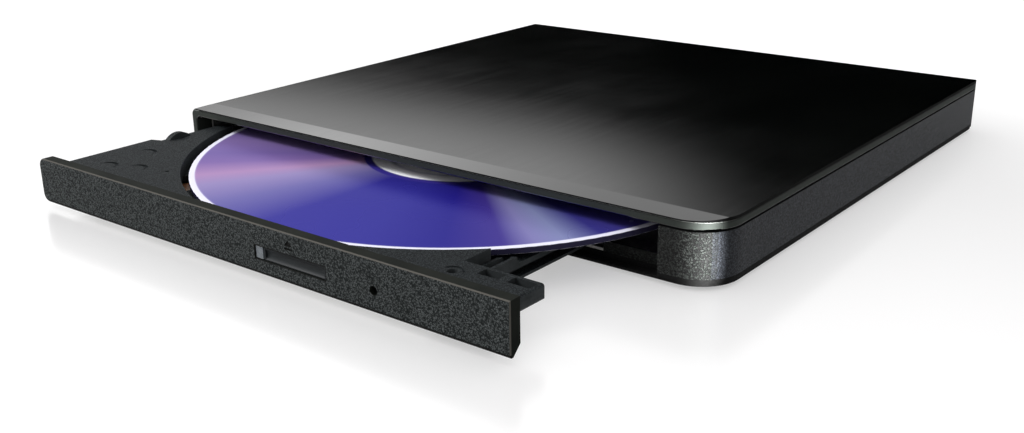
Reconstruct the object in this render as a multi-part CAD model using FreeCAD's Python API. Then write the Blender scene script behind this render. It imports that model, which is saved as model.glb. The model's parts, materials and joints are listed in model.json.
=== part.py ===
import FreeCAD
import Part
import math
import os

V = FreeCAD.Vector
X_AXIS = V(1, 0, 0)
Y_AXIS = V(0, 1, 0)
Z_AXIS = V(0, 0, 1)

# Slim portable disc writer with a pull-out tray, in millimetres.
# X runs to the right seen from the front, Y runs to the back and Z runs up.
# The origin is the bottom centre of the whole object with the tray partly out.

# Enclosure
case_width = 144.0
case_depth = 137.5
body_height = 12.8
foot_height = 0.8
foot_radius = 4.5
foot_recess = 0.35
foot_inset = 9.0
front_right_radius = 8.5
back_radius = 4.0
front_left_radius = 0.5
skin_gap = 0.3

# Top cover
cover_wall = 1.8
cover_plate = 1.9
cover_bend = 3.0
cover_inner_bend = 1.2
bevel_width = 5.0
bevel_drop = 0.4
rim_height = 1.8
rim_lip = 1.5
rim_round = 0.3
groove_height = 0.18
groove_depth = 0.25
skirt_bottom = 1.7

# Bottom case
floor_thickness = 1.1
base_strip_height = 0.7
base_strip_inset = 0.25
side_wall = 1.6
bay_wall = 1.2
column_width = 12.05
chin_thickness = 0.5
boss_radius = 2.6
sill_depth = 2.9
sill_thickness = 0.5
sill_top = 4.4

# Tray travel, counted from the closed position
tray_out = 42.0

# Front panel of the tray
bezel_side_gap = 0.3
bezel_gap = 0.2
bezel_thickness = 2.5
bezel_corner = 1.8
bezel_chamfer = 1.8
bezel_edge = 0.2
button_left = 70.2
button_width = 18.6
button_height = 2.6
button_below_top = 4.2
button_gap = 0.15
button_scoop = 0.45
lens_width = 1.9
release_hole_left = 100.3
release_hole_radius = 0.88
release_hole_up = 4.0
symbol_width = 2.2
symbol_height = 1.2
symbol_bar = 0.4
symbol_gap = 0.35
symbol_depth = 0.15
symbol_below_top = 1.3

# Sheet steel housing of the mechanism
pan_side_gap = 0.75
pan_front_gap = 3.6
pan_sheet = 0.5
pan_clearance = 0.1
pan_height = 9.0
pan_back_gap = 9.2
plate_sheet = 0.4
plate_setback = 8.5
flange_width = 3.2
flange_length = 6.0

# Disc and its well
disc_radius = 60.0
disc_hole_radius = 7.5
disc_thickness = 1.2
disc_bottom = 7.6
disc_offset = 2.9
disc_front_gap = 3.0
disc_ring_radius = 16.8
disc_ring_width = 0.5
disc_ring_height = 0.15
well_play = 1.6

# Tray moulding
tray_back_gap = 2.5
tray_bottom = 3.4
tray_left_gap = 5.0
tray_right_inset = 15.6
plateau_top = 9.6
plateau_left_gap = 3.0
plateau_step = 26.5
plateau_step_gap = 5.6
plateau_end = 44.0
ledge_top = 7.0
well_floor_top = 6.6
skin = 1.2
side_web = 1.2
ear_depth = 9.2
ear_left_reach = 9.5
ear_bottom = 6.9
ear_right_gap = 1.7
ear_round = 1.0
pocket_wall = 0.7
pocket_depth = 2.4
pocket_floor = 0.6
ear_pocket_width = 4.6
ear_pocket_inset = 1.2
deck_pocket_width = 4.4
deck_pocket_inset = 7.6
side_step = 3.4
bump_radius = 4.2
bump_top = 10.8
bump_back = 31.5

# Telescoping rails
rail_thickness = 1.2
rail_bottom = 4.2
rail_grip = 2.0
rail_slack = 0.3
rail_play = 0.25
rail_guide_grip = 1.5
rail_end_gap = 2.0
rail_front = 24.0
guide_back_gap = 8.5
guide_front = 12.0
guide_top = 6.4

# Carriage frame below the disc
deck_angle = 135.0
deck_inner = 15.0
deck_outer = 68.0
deck_left = 14.0
deck_right = 15.5
deck_bottom = 3.6
deck_thickness = 1.2
deck_rim = 2.4
deck_screw_rim = 1.0
rod_radius = 1.0
rod_height = 5.4
rod_spacing = 20.0
screw_radius = 0.9
screw_offset = 12.3
screw_start = 4.5
screw_pitch = 3.0
fit_play = 0.04
bush_radius = 2.6
bush_height = 1.85

# Spindle
rotor_radius = 11.0
rotor_bottom = 5.1
rotor_height = 1.9
hub_height = 1.7
hub_play = 0.05
shaft_radius = 1.0

# Pickup
pickup_inner_reach = 10.5
pickup_outer_reach = 7.0
pickup_width = 16.4
fork_wall = 1.6
pickup_lens_radius = 24.0
lens_radius = 2.1
lens_clearance = 1.25
sled_clearance = 1.4
sled_start_gap = 0.7
holder_play = 0.35

# Worked out from the sizes above
total_length = case_depth + tray_out
front_y = -total_length / 2 + tray_out
back_y = total_length / 2
left_x = -case_width / 2
right_x = case_width / 2
base_z = foot_height
top_z = base_z + body_height
rim_bottom = top_z - bevel_drop - rim_height
plate_under = top_z - cover_plate
wall_top = rim_bottom - skin_gap
floor_top = base_z + floor_thickness
chin_top = base_z + chin_thickness
inner_left = left_x + cover_wall
mouth_right = right_x - column_width
bezel_left = inner_left + bezel_side_gap
bezel_right = mouth_right - bezel_side_gap - 0.05
bezel_top = rim_bottom - bezel_gap
bezel_bottom = chin_top + bezel_gap
bezel_middle = (bezel_left + bezel_right) / 2
pan_left = bezel_left + pan_side_gap
pan_right = bezel_right - pan_side_gap
pan_bottom = floor_top + pan_clearance
pan_floor = pan_bottom + pan_sheet
pan_top = pan_bottom + pan_height
pan_front = pan_front_gap
pan_back = case_depth - cover_wall - pan_back_gap
tray_length = pan_back - pan_sheet - tray_back_gap
guide_length = pan_back - guide_back_gap - guide_front
rail_length = guide_front + guide_length - rail_end_gap - rail_front
disc_setback = disc_radius + disc_front_gap
well_radius = disc_radius + well_play
disc_x = bezel_middle + disc_offset
tray_left = bezel_left + tray_left_gap
tray_right = bezel_right - tray_right_inset
rail_top = rail_bottom + rail_thickness
slot_bottom = rail_bottom - rail_play
slot_top = rail_top + rail_play
cavity_left = tray_left + rail_grip + rail_slack + side_web
cavity_right = tray_right - rail_grip - rail_slack - side_web
ear_right = bezel_right - ear_right_gap
button_x0 = bezel_left + button_left
button_x1 = button_x0 + button_width
button_z1 = bezel_top - button_below_top
button_z0 = button_z1 - button_height
button_middle = (button_x0 + button_x1) / 2
release_x = bezel_left + release_hole_left
release_z = bezel_bottom + release_hole_up
deck_top = deck_bottom + deck_thickness
rotor_top = rotor_bottom + rotor_height
holder_top = disc_bottom - lens_clearance
sled_top = disc_bottom - sled_clearance
deck_window_inner = pickup_lens_radius - pickup_inner_reach - sled_start_gap


def in_case(depth):
    """Y of a point this far behind the front of the enclosure."""
    return front_y + depth


def in_tray(depth):
    """Y of a point this far behind the face of the tray's front panel."""
    return front_y - tray_out + depth


spindle = V(disc_x, in_tray(disc_setback), 0)


def block(x0, x1, y0, y1, z0, z1):
    return Part.makeBox(x1 - x0, y1 - y0, z1 - z0, V(x0, y0, z0))


def post(x, y, z0, z1, radius):
    return Part.makeCylinder(radius, z1 - z0, V(x, y, z0), Z_AXIS)


def bar(start, direction, length, radius):
    return Part.makeCylinder(radius, length, start, direction)


def prism(points, z0, z1):
    """Upright prism over a plan outline given as (x, y) points."""
    corners = [V(x, y, z0) for x, y in points]
    wire = Part.makePolygon(corners + [corners[0]])
    return Part.Face(wire).extrude(V(0, 0, z1 - z0))


def side_prism(points, x0, x1):
    """Prism along X over an outline given as (y, z) points."""
    corners = [V(x0, y, z) for y, z in points]
    wire = Part.makePolygon(corners + [corners[0]])
    return Part.Face(wire).extrude(V(x1 - x0, 0, 0))


def front_prism(points, y0, y1):
    """Prism along Y over an outline given as (x, z) points."""
    corners = [V(x, y0, z) for x, z in points]
    wire = Part.makePolygon(corners + [corners[0]])
    return Part.Face(wire).extrude(V(0, y1 - y0, 0))


def rounded_plan(x0, x1, y0, y1, radii, z0, z1):
    """Prism over a rectangle; radii are front-left, front-right, back-right, back-left."""
    fl, fr, br, bl = radii
    spots = [
        (x0 + fl, y0 + fl, fl, 180),
        (x1 - fr, y0 + fr, fr, 270),
        (x1 - br, y1 - br, br, 0),
        (x0 + bl, y1 - bl, bl, 90),
    ]
    edges = []
    last = None
    first = None
    for cx, cy, radius, start in spots:
        arc = Part.makeCircle(radius, V(cx, cy, z0), Z_AXIS, start, start + 90)
        begin = arc.Vertexes[0].Point
        if last is not None:
            edges.append(Part.makeLine(last, begin))
        else:
            first = begin
        edges.append(arc)
        last = arc.Vertexes[-1].Point
    edges.append(Part.makeLine(last, first))
    return Part.Face(Part.Wire(edges)).extrude(V(0, 0, z1 - z0))


def case_plan(inset, z0, z1):
    """Prism over the enclosure's outline, drawn in by inset."""
    radii = [
        max(r - inset, 0.05)
        for r in (front_left_radius, front_right_radius, back_radius, back_radius)
    ]
    return rounded_plan(
        left_x + inset, right_x - inset, front_y + inset, back_y - inset, radii, z0, z1
    )


def round_edges(shape, radius, wanted):
    """Fillet the edges whose middle point and shape satisfy the test."""
    edges = [e for e in shape.Edges if wanted(e, e.valueAt((e.FirstParameter + e.LastParameter) / 2))]
    return shape.makeFillet(radius, edges)


def merge(shapes):
    result = shapes[0].fuse(shapes[1:])
    return result.removeSplitter()


def cut(shape, tools):
    return shape.cut(tools)


def on_deck(shape):
    """Turn a shape from the carriage frame's own axes and set it at the spindle."""
    moved = shape.copy()
    moved.rotate(V(0, 0, 0), Z_AXIS, deck_angle)
    moved.translate(spindle)
    return moved


def deck_block(u0, u1, w0, w1, z0, z1):
    return block(u0, u1, w0, w1, z0, z1)


def export(name, shapes):
    """Write one node; a node of several loose pieces is a compound of solids."""
    solids = []
    for shape in shapes:
        solids.extend(shape.Solids)
    whole = solids[0] if len(solids) == 1 else Part.makeCompound(solids)
    assert whole.isValid(), name
    whole.exportStep(os.path.join("parts", name + ".step"))


# Enclosure

def top_cover():
    """Lid that wraps down the left side and the back, with a rim on the other two sides."""
    shell = case_plan(0, skirt_bottom, top_z)
    left_bend = round_edges(
        block(left_x, right_x + 1, front_y - 1, back_y + 1, skirt_bottom, top_z), cover_bend,
        lambda e, m: m.x < left_x + 0.01 and m.z > top_z - 0.01,
    )
    back_bend = round_edges(
        block(left_x - 1, right_x + 1, front_y - 1, back_y, skirt_bottom, top_z), cover_bend,
        lambda e, m: m.y > back_y - 0.01 and m.z > top_z - 0.01,
    )
    shell = shell.common(left_bend).common(back_bend)
    front_cut = side_prism(
        [
            (front_y - 1, top_z - bevel_drop * (1 + 1 / bevel_width)),
            (front_y + bevel_width, top_z),
            (front_y - 1, top_z + 1),
        ],
        left_x - 1,
        right_x + 1,
    )
    inner_back = back_y - cover_wall
    hollow = block(
        inner_left, right_x - rim_lip, front_y + rim_lip, inner_back, base_z - 1, plate_under
    )

    def inner_bends(edge, middle):
        on_top = abs(middle.z - plate_under) < 0.01
        return on_top and (middle.x < inner_left + 0.01 or middle.y > inner_back - 0.01)

    hollow = round_edges(hollow, cover_inner_bend, inner_bends)
    open_sides = block(
        inner_left + cover_inner_bend, right_x + 1, front_y - 1,
        inner_back - cover_inner_bend, base_z - 1, rim_bottom,
    )
    mouth = round_edges(
        block(inner_left, right_x + 1, front_y - 1, front_y + rim_lip + 0.1, base_z - 1, rim_bottom),
        cover_inner_bend, lambda e, m: m.x < inner_left + 0.01 and m.z > rim_bottom - 0.01,
    )
    right_end = block(
        right_x - rim_lip - 0.1, right_x + 1, front_y + 1, inner_back,
        base_z - 1, plate_under - cover_inner_bend,
    )
    groove_z = top_z - bevel_drop - groove_height * 1.5
    band = block(
        inner_left + cover_inner_bend, right_x + 1, front_y - 1, back_y - cover_bend,
        groove_z - groove_height, groove_z,
    )
    groove = band.cut(case_plan(groove_depth, groove_z - 1, groove_z + 1))
    socket_cut = block(
        socket_x - socket_width / 2 - socket_gap, socket_x + socket_width / 2 + socket_gap,
        inner_back - 1, back_y + 1, socket_z - socket_gap, socket_z + socket_height + socket_gap,
    )
    shell = cut(shell, [front_cut, hollow, open_sides, mouth, right_end, groove, socket_cut])

    def rim_edges(edge, middle):
        low = abs(middle.z - rim_bottom) < 0.01
        outer = middle.x > right_x - 3 or middle.y < front_y + 0.01
        inside = middle.x < right_x - rim_lip + 0.01 and middle.y > front_y + 0.2
        return low and outer and not inside and middle.x > inner_left + 2 and middle.y < back_y - 4

    return round_edges(shell, rim_round, rim_edges)


boss_inset = 16.0
boss_from_wall = 4.6
boss_from_back = 4.2
boss_places = [
    (mouth_right + bay_wall + boss_from_wall, in_case(boss_inset)),
    (mouth_right + bay_wall + boss_from_wall, in_case(case_depth - boss_inset)),
    (left_x + boss_inset, back_y - cover_wall - boss_from_back),
    (right_x - boss_inset, back_y - cover_wall - boss_from_back),
]
case_screw_radius = 1.0
case_screw_head = 1.9
case_screw_play = 0.05
case_screw_length = 6.0
head_height = 0.6


def guide_screw_places():
    """Two screws near the ends of each rail guide."""
    depths = (guide_front + guide_screw_inset, guide_front + guide_length - guide_screw_inset)
    sides = (pan_left + pan_sheet + guide_screw_left, pan_right - pan_sheet - guide_screw_right)
    return [(x, in_case(depth)) for x in sides for depth in depths]


guide_screw_inset = 13.5
guide_screw_left = 1.3
guide_screw_right = 2.4
guide_screw_radius = 0.7
guide_screw_head = 1.1
guide_screw_top = 3.7


def bottom_case():
    """Tray-shaped lower shell with the full-height right wall and front column."""
    inner_back = back_y - cover_wall
    body = case_plan(0, base_z + base_strip_height, wall_top)
    strip = case_plan(base_strip_inset, base_z, base_z + base_strip_height)
    shell = merge([body, strip])
    lip_top = base_z + base_strip_height
    cover_side = block(left_x - 1, inner_left + skin_gap, front_y - 1, back_y + 1, lip_top, top_z)
    cover_back = block(left_x - 1, right_x + 1, inner_back - skin_gap, back_y + 1, lip_top, top_z)
    bend_room = block(
        left_x - 1, right_x + 1, inner_back - cover_inner_bend - skin_gap, back_y + 1,
        plate_under - cover_inner_bend - skin_gap, top_z,
    )
    bay = block(left_x - 1, mouth_right, front_y - 1, back_y + 1, floor_top, top_z)
    chin = block(
        inner_left, mouth_right, front_y - 1, front_y + bezel_thickness + 0.6, chin_top, floor_top + 1
    )
    side_bay = rounded_plan(
        mouth_right + bay_wall, right_x - side_wall, front_y + side_wall, back_y - 2 * cover_wall,
        [1.0, front_right_radius - side_wall, 1.0, 1.0], floor_top, top_z,
    )
    shell = cut(shell, [cover_side, cover_back, bend_room, bay, chin, side_bay])
    bosses = [post(x, y, floor_top - 0.2, wall_top - 1.5, boss_radius) for x, y in boss_places]
    shell = merge([shell, mouth_sill()] + bosses)
    holes = []
    for x, y in boss_places:
        holes.append(post(x, y, base_z - 1, base_z + head_height, case_screw_head + case_screw_play))
        holes.append(post(x, y, base_z, base_z + head_height + case_screw_length,
                          case_screw_radius + case_screw_play))
    for x, y in guide_screw_places():
        holes.append(post(x, y, base_z - 1, base_z + head_height, guide_screw_head + case_screw_play))
        holes.append(post(x, y, base_z, floor_top + 1, guide_screw_radius + case_screw_play))
    for x, y in foot_places():
        holes.append(post(x, y, base_z - 1, base_z + foot_recess, foot_radius + 0.1))
    return cut(shell, holes)


def mouth_sill():
    """Low upright wall across the mouth between the right rail and the column."""
    rail_side = tray_right + rail_slack + rail_guide_grip
    return block(rail_side + 2 * rail_slack, mouth_right + bay_wall / 2, in_case(sill_depth),
                 in_case(sill_depth + sill_thickness), base_z + chin_thickness, sill_top)


def foot_places():
    return [
        (x, y)
        for x in (left_x + foot_inset, right_x - foot_inset)
        for y in (front_y + foot_inset, back_y - foot_inset)
    ]


def rubber_foot(x, y):
    pad = post(x, y, 0, base_z + foot_recess, foot_radius)
    return round_edges(pad, 0.3, lambda e, m: abs(m.z) < 0.01 and e.Length > 10)


def flat_screw(x, y, head_bottom, head_radius, shank_radius, length):
    """Screw pointing up, with a cross in its head."""
    head = post(x, y, head_bottom, head_bottom + head_height, head_radius)
    shank = post(x, y, head_bottom + head_height - 0.05, head_bottom + head_height + length, shank_radius)
    cross_x = block(x - head_radius * 0.6, x + head_radius * 0.6, y - 0.15, y + 0.15,
                    head_bottom - 0.1, head_bottom + 0.3)
    cross_y = block(x - 0.15, x + 0.15, y - head_radius * 0.6, y + head_radius * 0.6,
                    head_bottom - 0.1, head_bottom + 0.3)
    return cut(merge([head, shank]), [cross_x, cross_y])


def case_screws():
    return [
        flat_screw(x, y, base_z, case_screw_head, case_screw_radius, case_screw_length - 0.5)
        for x, y in boss_places
    ]


def guide_screws():
    length = guide_screw_top - base_z - head_height
    return [
        flat_screw(x, y, base_z, guide_screw_head, guide_screw_radius, length)
        for x, y in guide_screw_places()
    ]


# Sheet steel housing

flange_depths = (20.0, 100.0)
plate_screw_radius = 0.8
plate_screw_head = 1.3
plate_screw_rise = 0.22
connector_x = 30.0
connector_width = 34.0
connector_inside = 1.8
connector_outside = 1.5
rear_board_depth = 1.9
latch_post_x = tray_right - 4.6
latch_post_depth = 20.0
latch_post_radius = 0.9


def flange_screw_places():
    left = pan_left + pan_sheet + flange_width / 2
    right = pan_right - pan_sheet - flange_width / 2
    return [(x, in_case(depth + flange_length / 2)) for x in (left, right) for depth in flange_depths]


def drive_pan():
    shell = block(pan_left, pan_right, in_case(pan_front), in_case(pan_back), pan_bottom, pan_top)
    hollow = block(
        pan_left + pan_sheet, pan_right - pan_sheet, in_case(pan_front) - 1,
        in_case(pan_back) - pan_sheet, pan_floor, pan_top + 1,
    )
    shell = cut(shell, [hollow])
    flanges = []
    for depth in flange_depths:
        for x0, x1 in (
            (pan_left + pan_sheet - 0.1, pan_left + pan_sheet + flange_width),
            (pan_right - pan_sheet - flange_width, pan_right - pan_sheet + 0.1),
        ):
            flanges.append(
                block(x0, x1, in_case(depth), in_case(depth + flange_length), pan_top - pan_sheet, pan_top)
            )
    shell = merge([shell] + flanges)
    holes = [
        post(x, y, pan_top - 1, pan_top + 1, plate_screw_radius + case_screw_play)
        for x, y in flange_screw_places()
    ]
    holes += [
        post(x, y, pan_bottom - 1, pan_floor + 1, guide_screw_radius + case_screw_play)
        for x, y in guide_screw_places()
    ]
    holes.append(post(latch_post_x, in_case(latch_post_depth), pan_bottom - 1, pan_floor + 1,
                      latch_post_radius * 0.6 + 0.02))
    holes.append(block(
        connector_x - connector_width / 2 - 0.3, connector_x + connector_width / 2 + 0.3,
        in_case(pan_back) - 1, in_case(pan_back) + 1, pan_floor + 1.1, pan_floor + 4.7,
    ))
    holes.append(post(disc_x, in_case(disc_setback), pan_bottom - 1, pan_floor + 1, 14.0))
    for depth in (40.0, 92.0):
        holes.append(block(disc_x - 40, disc_x - 22, in_case(depth), in_case(depth + 3),
                           pan_bottom - 1, pan_floor + 1))
    return cut(shell, holes)


def drive_top_plate():
    plate = block(
        pan_left, pan_right, in_case(pan_front + plate_setback), in_case(pan_back),
        pan_top, pan_top + plate_sheet,
    )
    holes = [
        post(x, y, pan_top - 1, pan_top + 1, plate_screw_radius + case_screw_play)
        for x, y in flange_screw_places()
    ]
    return cut(plate, holes)


def top_plate_screws():
    screws = []
    for x, y in flange_screw_places():
        top = pan_top + plate_sheet
        head = post(x, y, top, top + plate_screw_rise, plate_screw_head)
        shank = post(x, y, pan_top - pan_sheet - 0.4, top + 0.05, plate_screw_radius)
        screws.append(merge([head, shank]))
    return screws


def latch_post():
    x = latch_post_x
    y = in_case(latch_post_depth)
    return merge([
        post(x, y, pan_bottom, pan_floor + 0.1, latch_post_radius * 0.6),
        post(x, y, pan_floor, pan_floor + 3.1, latch_post_radius),
    ])


def rail_guide(side):
    """Channel that holds a rail from outside; side is -1 on the left and 1 on the right."""
    if side < 0:
        outer, inner, wall = pan_left + pan_sheet, tray_left - rail_slack, -1
    else:
        outer, inner, wall = pan_right - pan_sheet, tray_right + rail_slack, 1
    x0, x1 = sorted((outer, inner))
    y0 = in_case(guide_front)
    body = block(x0, x1, y0, y0 + guide_length, pan_floor, guide_top)
    deep = inner + wall * (rail_guide_grip + rail_slack)
    g0, g1 = sorted((inner - wall, deep))
    tools = [block(g0, g1, y0 - 1, y0 + guide_length + 1, slot_bottom, slot_top)]
    for x, y in guide_screw_places():
        tools.append(post(x, y, pan_floor - 1, guide_screw_top + 0.1, guide_screw_radius + case_screw_play))
    return cut(body, tools)


def rail(side):
    """Flat steel strip that bridges the tray and its guide, half of the tray's travel out."""
    if side < 0:
        x0 = tray_left - rail_slack - rail_guide_grip
        x1 = tray_left + rail_grip
    else:
        x0 = tray_right - rail_grip
        x1 = tray_right + rail_slack + rail_guide_grip
    y0 = in_case(rail_front) - tray_out / 2
    strip = rounded_plan(x0, x1, y0, y0 + rail_length, [0.8] * 4, rail_bottom, rail_top)
    middle = (x0 + x1) / 2
    slots = []
    for start in (rail_length * 0.25, rail_length * 0.7):
        slots.append(block(middle - 0.5, middle + 0.5, y0 + start, y0 + start + 8,
                           rail_bottom - 1, rail_top + 1))
    return cut(strip, slots)


# Rear electronics

socket_x = -46.0
socket_width = 7.7
socket_height = 3.9
socket_gap = 0.2
socket_depth = 9.0
socket_z = 4.4
board_thickness = 0.8
bridge_left = -52.0
bridge_right = 50.0
bridge_z = socket_z - board_thickness - 0.02
bridge_front_gap = 1.9


def bridge_board():
    y0 = in_case(pan_back + bridge_front_gap)
    y1 = back_y - cover_wall - 0.3
    return block(bridge_left, bridge_right, y0, y1, bridge_z, bridge_z + board_thickness)


def usb_socket():
    """Five-contact miniature socket with its tongue."""
    x0 = socket_x - socket_width / 2
    x1 = socket_x + socket_width / 2
    y1 = back_y - 0.2
    y0 = y1 - socket_depth
    wall = 0.4
    shell = block(x0, x1, y0, y1, socket_z, socket_z + socket_height)
    shell = round_edges(shell, 0.7, lambda e, m: abs(m.y - (y0 + y1) / 2) < 0.1 and m.z < socket_z + 0.1)
    mouth = block(x0 + wall, x1 - wall, y0 + 1.2, y1 + 1, socket_z + wall, socket_z + socket_height - wall)
    tongue = block(x0 + 1.7, x1 - 1.7, y0 + 1.0, y1 - 1.4, socket_z + 1.9, socket_z + 2.7)
    return merge([cut(shell, [mouth]), tongue])


bridge_spots = [
    (38.0, 0.5, 6.0, 6.0, 0.9), (28.0, 1.5, 4.0, 4.0, 1.0), (20.0, 1.5, 3.0, 4.0, 1.4),
    (48.0, 1.5, 1.6, 1.6, 0.8), (52.0, 1.5, 1.6, 1.6, 0.8),
]


def bridge_parts():
    """Bridge chip, memory chip, crystal and two capacitors, placed from the board's left front corner."""
    z = bridge_z + board_thickness
    parts = []
    for across, depth, width, length, height in bridge_spots:
        x = bridge_left + across
        y = in_case(pan_back + bridge_front_gap) + depth
        parts.append(block(x, x + width, y, y + length, z, z + height))
    return parts


def drive_connector():
    """Slim connector that stands in the window of the steel housing's back wall."""
    y0 = in_case(pan_back) - connector_inside
    y1 = in_case(pan_back) + connector_outside
    z0 = pan_floor + 1.2
    half = connector_width / 2
    body = block(connector_x - half, connector_x + half, y0, y1, z0, z0 + 3.4)
    slot = block(connector_x - half + 2, connector_x + half - 2, y0 + 0.6, y1 + 1, z0 + 0.9, z0 + 2.5)
    blade = block(connector_x - half + 3, connector_x + half - 3, y0 + 0.3, y1 - 0.3, z0 + 1.35, z0 + 2.05)
    return merge([cut(body, [slot]), blade])


def bridge_connector():
    """Mating connector on the rear board."""
    y0 = in_case(pan_back) + connector_outside + 0.1
    z0 = bridge_z + board_thickness
    half = connector_width / 2 - 1.5
    return block(connector_x - half, connector_x + half, y0, y0 + 5.4, z0, z0 + 3.0)


def rear_board():
    """Narrow board inside the housing that carries the drive connector and the flat cable."""
    y1 = in_case(pan_back) - pan_sheet - 0.1
    half = connector_width / 2 + 2
    return block(connector_x - half, connector_x + half, y1 - rear_board_depth, y1,
                 pan_floor + 0.3, pan_floor + 1.1)


flex_width = 16.0
flex_thickness = 0.12
flex_x = 19.0
flex_fold = 13.0
flex_back_gap = 23.5
flex_entry = tray_length - flex_back_gap


def flat_cable():
    """Flat cable of the tray: lower run on the housing floor, one fold and an upper run."""
    low = pan_floor + 0.1
    high = tray_bottom - 0.62
    radius = (high + flex_thickness - low) / 2
    x1 = flex_x + flex_width
    y_back = in_case(pan_back) - pan_sheet - 0.1
    y_fold = in_case(flex_fold)
    y_entry = in_tray(flex_entry)
    lower = block(flex_x, x1, y_fold, y_back, low, low + flex_thickness)
    upper = block(flex_x, x1, y_fold, y_entry, high, high + flex_thickness)
    riser = block(flex_x, x1, y_entry - flex_thickness, y_entry, high, main_board_z)
    centre = V(flex_x, y_fold, low + radius)
    outer = Part.makeCylinder(radius, flex_width, centre, X_AXIS)
    inner = Part.makeCylinder(radius - flex_thickness, flex_width, centre, X_AXIS)
    front_half = block(flex_x - 1, x1 + 1, y_fold - 2, y_fold, low - 1, high + 1)
    fold = outer.cut(inner).common(front_half)
    return merge([lower, fold, upper, riser])


# Tray

mark_depth = 0.4


def plateau_shape(z0, z1):
    """Raised deck of the tray: full width at the front, stepped in at the left."""
    x0 = bezel_left + plateau_left_gap
    x1 = bezel_left + plateau_step_gap
    return prism(
        [
            (x0, in_tray(bezel_thickness)),
            (tray_right, in_tray(bezel_thickness)),
            (tray_right, in_tray(tray_length)),
            (tray_left, in_tray(tray_length)),
            (tray_left, in_tray(plateau_end)),
            (x1, in_tray(plateau_end)),
            (x1, in_tray(plateau_step + 1.0)),
            (x0, in_tray(plateau_step)),
        ],
        z0,
        z1,
    )


def tray_frame():
    front = in_tray(bezel_thickness)
    back = in_tray(tray_length)
    base = block(tray_left, tray_right, front, back, tray_bottom, ledge_top)
    deck = plateau_shape(ledge_top - 0.6, plateau_top)
    deck_back = block(tray_left - 1, cavity_left, in_tray(plateau_end), back + 1, ledge_top, plateau_top + 1)
    deck = cut(deck, [deck_back])
    shape = merge([base, deck, ear()])
    well = disc_well()
    under_well = block(
        cavity_left, cavity_right, front + skin, back - skin, tray_bottom - 1, well_floor_top - skin
    )
    under_deck = plateau_cavity(well_floor_top - skin - 0.1, plateau_top - skin)
    side_cut = block(tray_right - side_step, tray_right + 1, front + ear_depth, back + 1,
                     ledge_top, plateau_top + 1)
    tools = [well, under_well, under_deck, deck_window(), side_cut]
    tools += side_slots()
    tools += front_pockets()
    tools += deck_marks()
    tools.append(latch_channel())
    tools.append(flex_window())
    tools.append(bar(V(ejector_x, in_tray(tray_length - 3.0), ejector_z), Y_AXIS, 4.0, ejector_radius + 0.25))
    shape = cut(shape, tools)
    boss_hole = post(boss_mark_x, in_tray(boss_mark_depth), plateau_top - boss_hole_depth, plateau_top + 1,
                     boss_hole_radius)
    return cut(merge([shape, tab_bump()] + well_ribs()), [boss_hole])


def disc_well():
    return post(disc_x, in_tray(disc_setback), well_floor_top, plateau_top + 3, well_radius)


def ear():
    """Flange at the right end, just behind the front panel, with a rounded end."""
    x0 = tray_right - ear_left_reach
    y0 = in_tray(bezel_thickness)
    piece = block(x0, ear_right, y0, y0 + ear_depth, ear_bottom, plateau_top)
    return round_edges(
        piece, ear_round,
        lambda e, m: m.x > ear_right - 0.01 and abs(m.y - y0) > 0.01 and e.Length > 1.0,
    )


def plateau_cavity(z0, z1):
    """Hollow below the raised deck outside the disc well."""
    x0 = bezel_left + plateau_step_gap + skin
    front_y0 = in_tray(bezel_thickness) + skin
    zone = block(x0, cavity_right, front_y0, in_tray(tray_length) - skin, z0, z1)
    ring = post(disc_x, in_tray(disc_setback), z0 - 1, z1 + 1, well_radius + skin)
    return zone.cut([ring])


def deck_window():
    """Opening in the well floor over the spindle and the pickup's path."""
    rotor = post(0, 0, tray_bottom - 1, plateau_top, rotor_radius + 3.0)
    path = deck_block(0, deck_outer + 0.8, -deck_left + 1.5, deck_right - 0.5, tray_bottom - 1, plateau_top)
    screw_w = screw_offset + screw_shift
    motor = deck_block(-screw_start - 9.6, 0, screw_w - 3.6, screw_w + 3.6, tray_bottom - 1, plateau_top)
    frame = deck_block(-deck_inner - 0.6, deck_outer + 0.6, -deck_left - 0.6, deck_right + 0.6,
                       tray_bottom - 1, well_floor_top - skin)
    return on_deck(merge([rotor, path, motor, frame]))


def side_slots():
    """Grooves along both sides in which the rails run."""
    front = in_tray(bezel_thickness) - 0.5
    back = in_tray(tray_length) + 1
    left = block(tray_left - 1, tray_left + rail_grip + rail_slack, front, back, slot_bottom, slot_top)
    right = block(tray_right - rail_grip - rail_slack, tray_right + 1, front, back, slot_bottom, slot_top)
    return [left, right]


def front_pockets():
    """Pockets behind the front panel for the button and the release slider, and two in the ear."""
    front = in_tray(bezel_thickness)
    low = tray_bottom - 1
    button = block(button_x0 - 1.6, button_x1 + 2.0, front - 1, front + 11.2, low, button_z1 + 1.2)
    release = block(release_x - 2.4, release_x + 2.4, front - 1, front + 10.6, low, release_z + 1.4)
    back = front + ear_depth - pocket_wall
    pockets = []
    for inset, width in ((ear_pocket_inset, ear_pocket_width), (deck_pocket_inset, deck_pocket_width)):
        x = ear_right - inset
        pockets.append(block(x - width, x, back - pocket_depth, back,
                             ear_bottom + pocket_floor, plateau_top + 1))
    return [button, release] + pockets


crescent_radius = 2.3
crescent_shift = 0.9
crescent_places = [(10.9, 19.6), (12.4, 8.6), (19.3, 11.2)]
dot_radius = 0.45
dot_places = [(26.8, 13.4), (45.6, 7.4)]
boss_arc_radius = 2.3
boss_arc_width = 0.6


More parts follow.
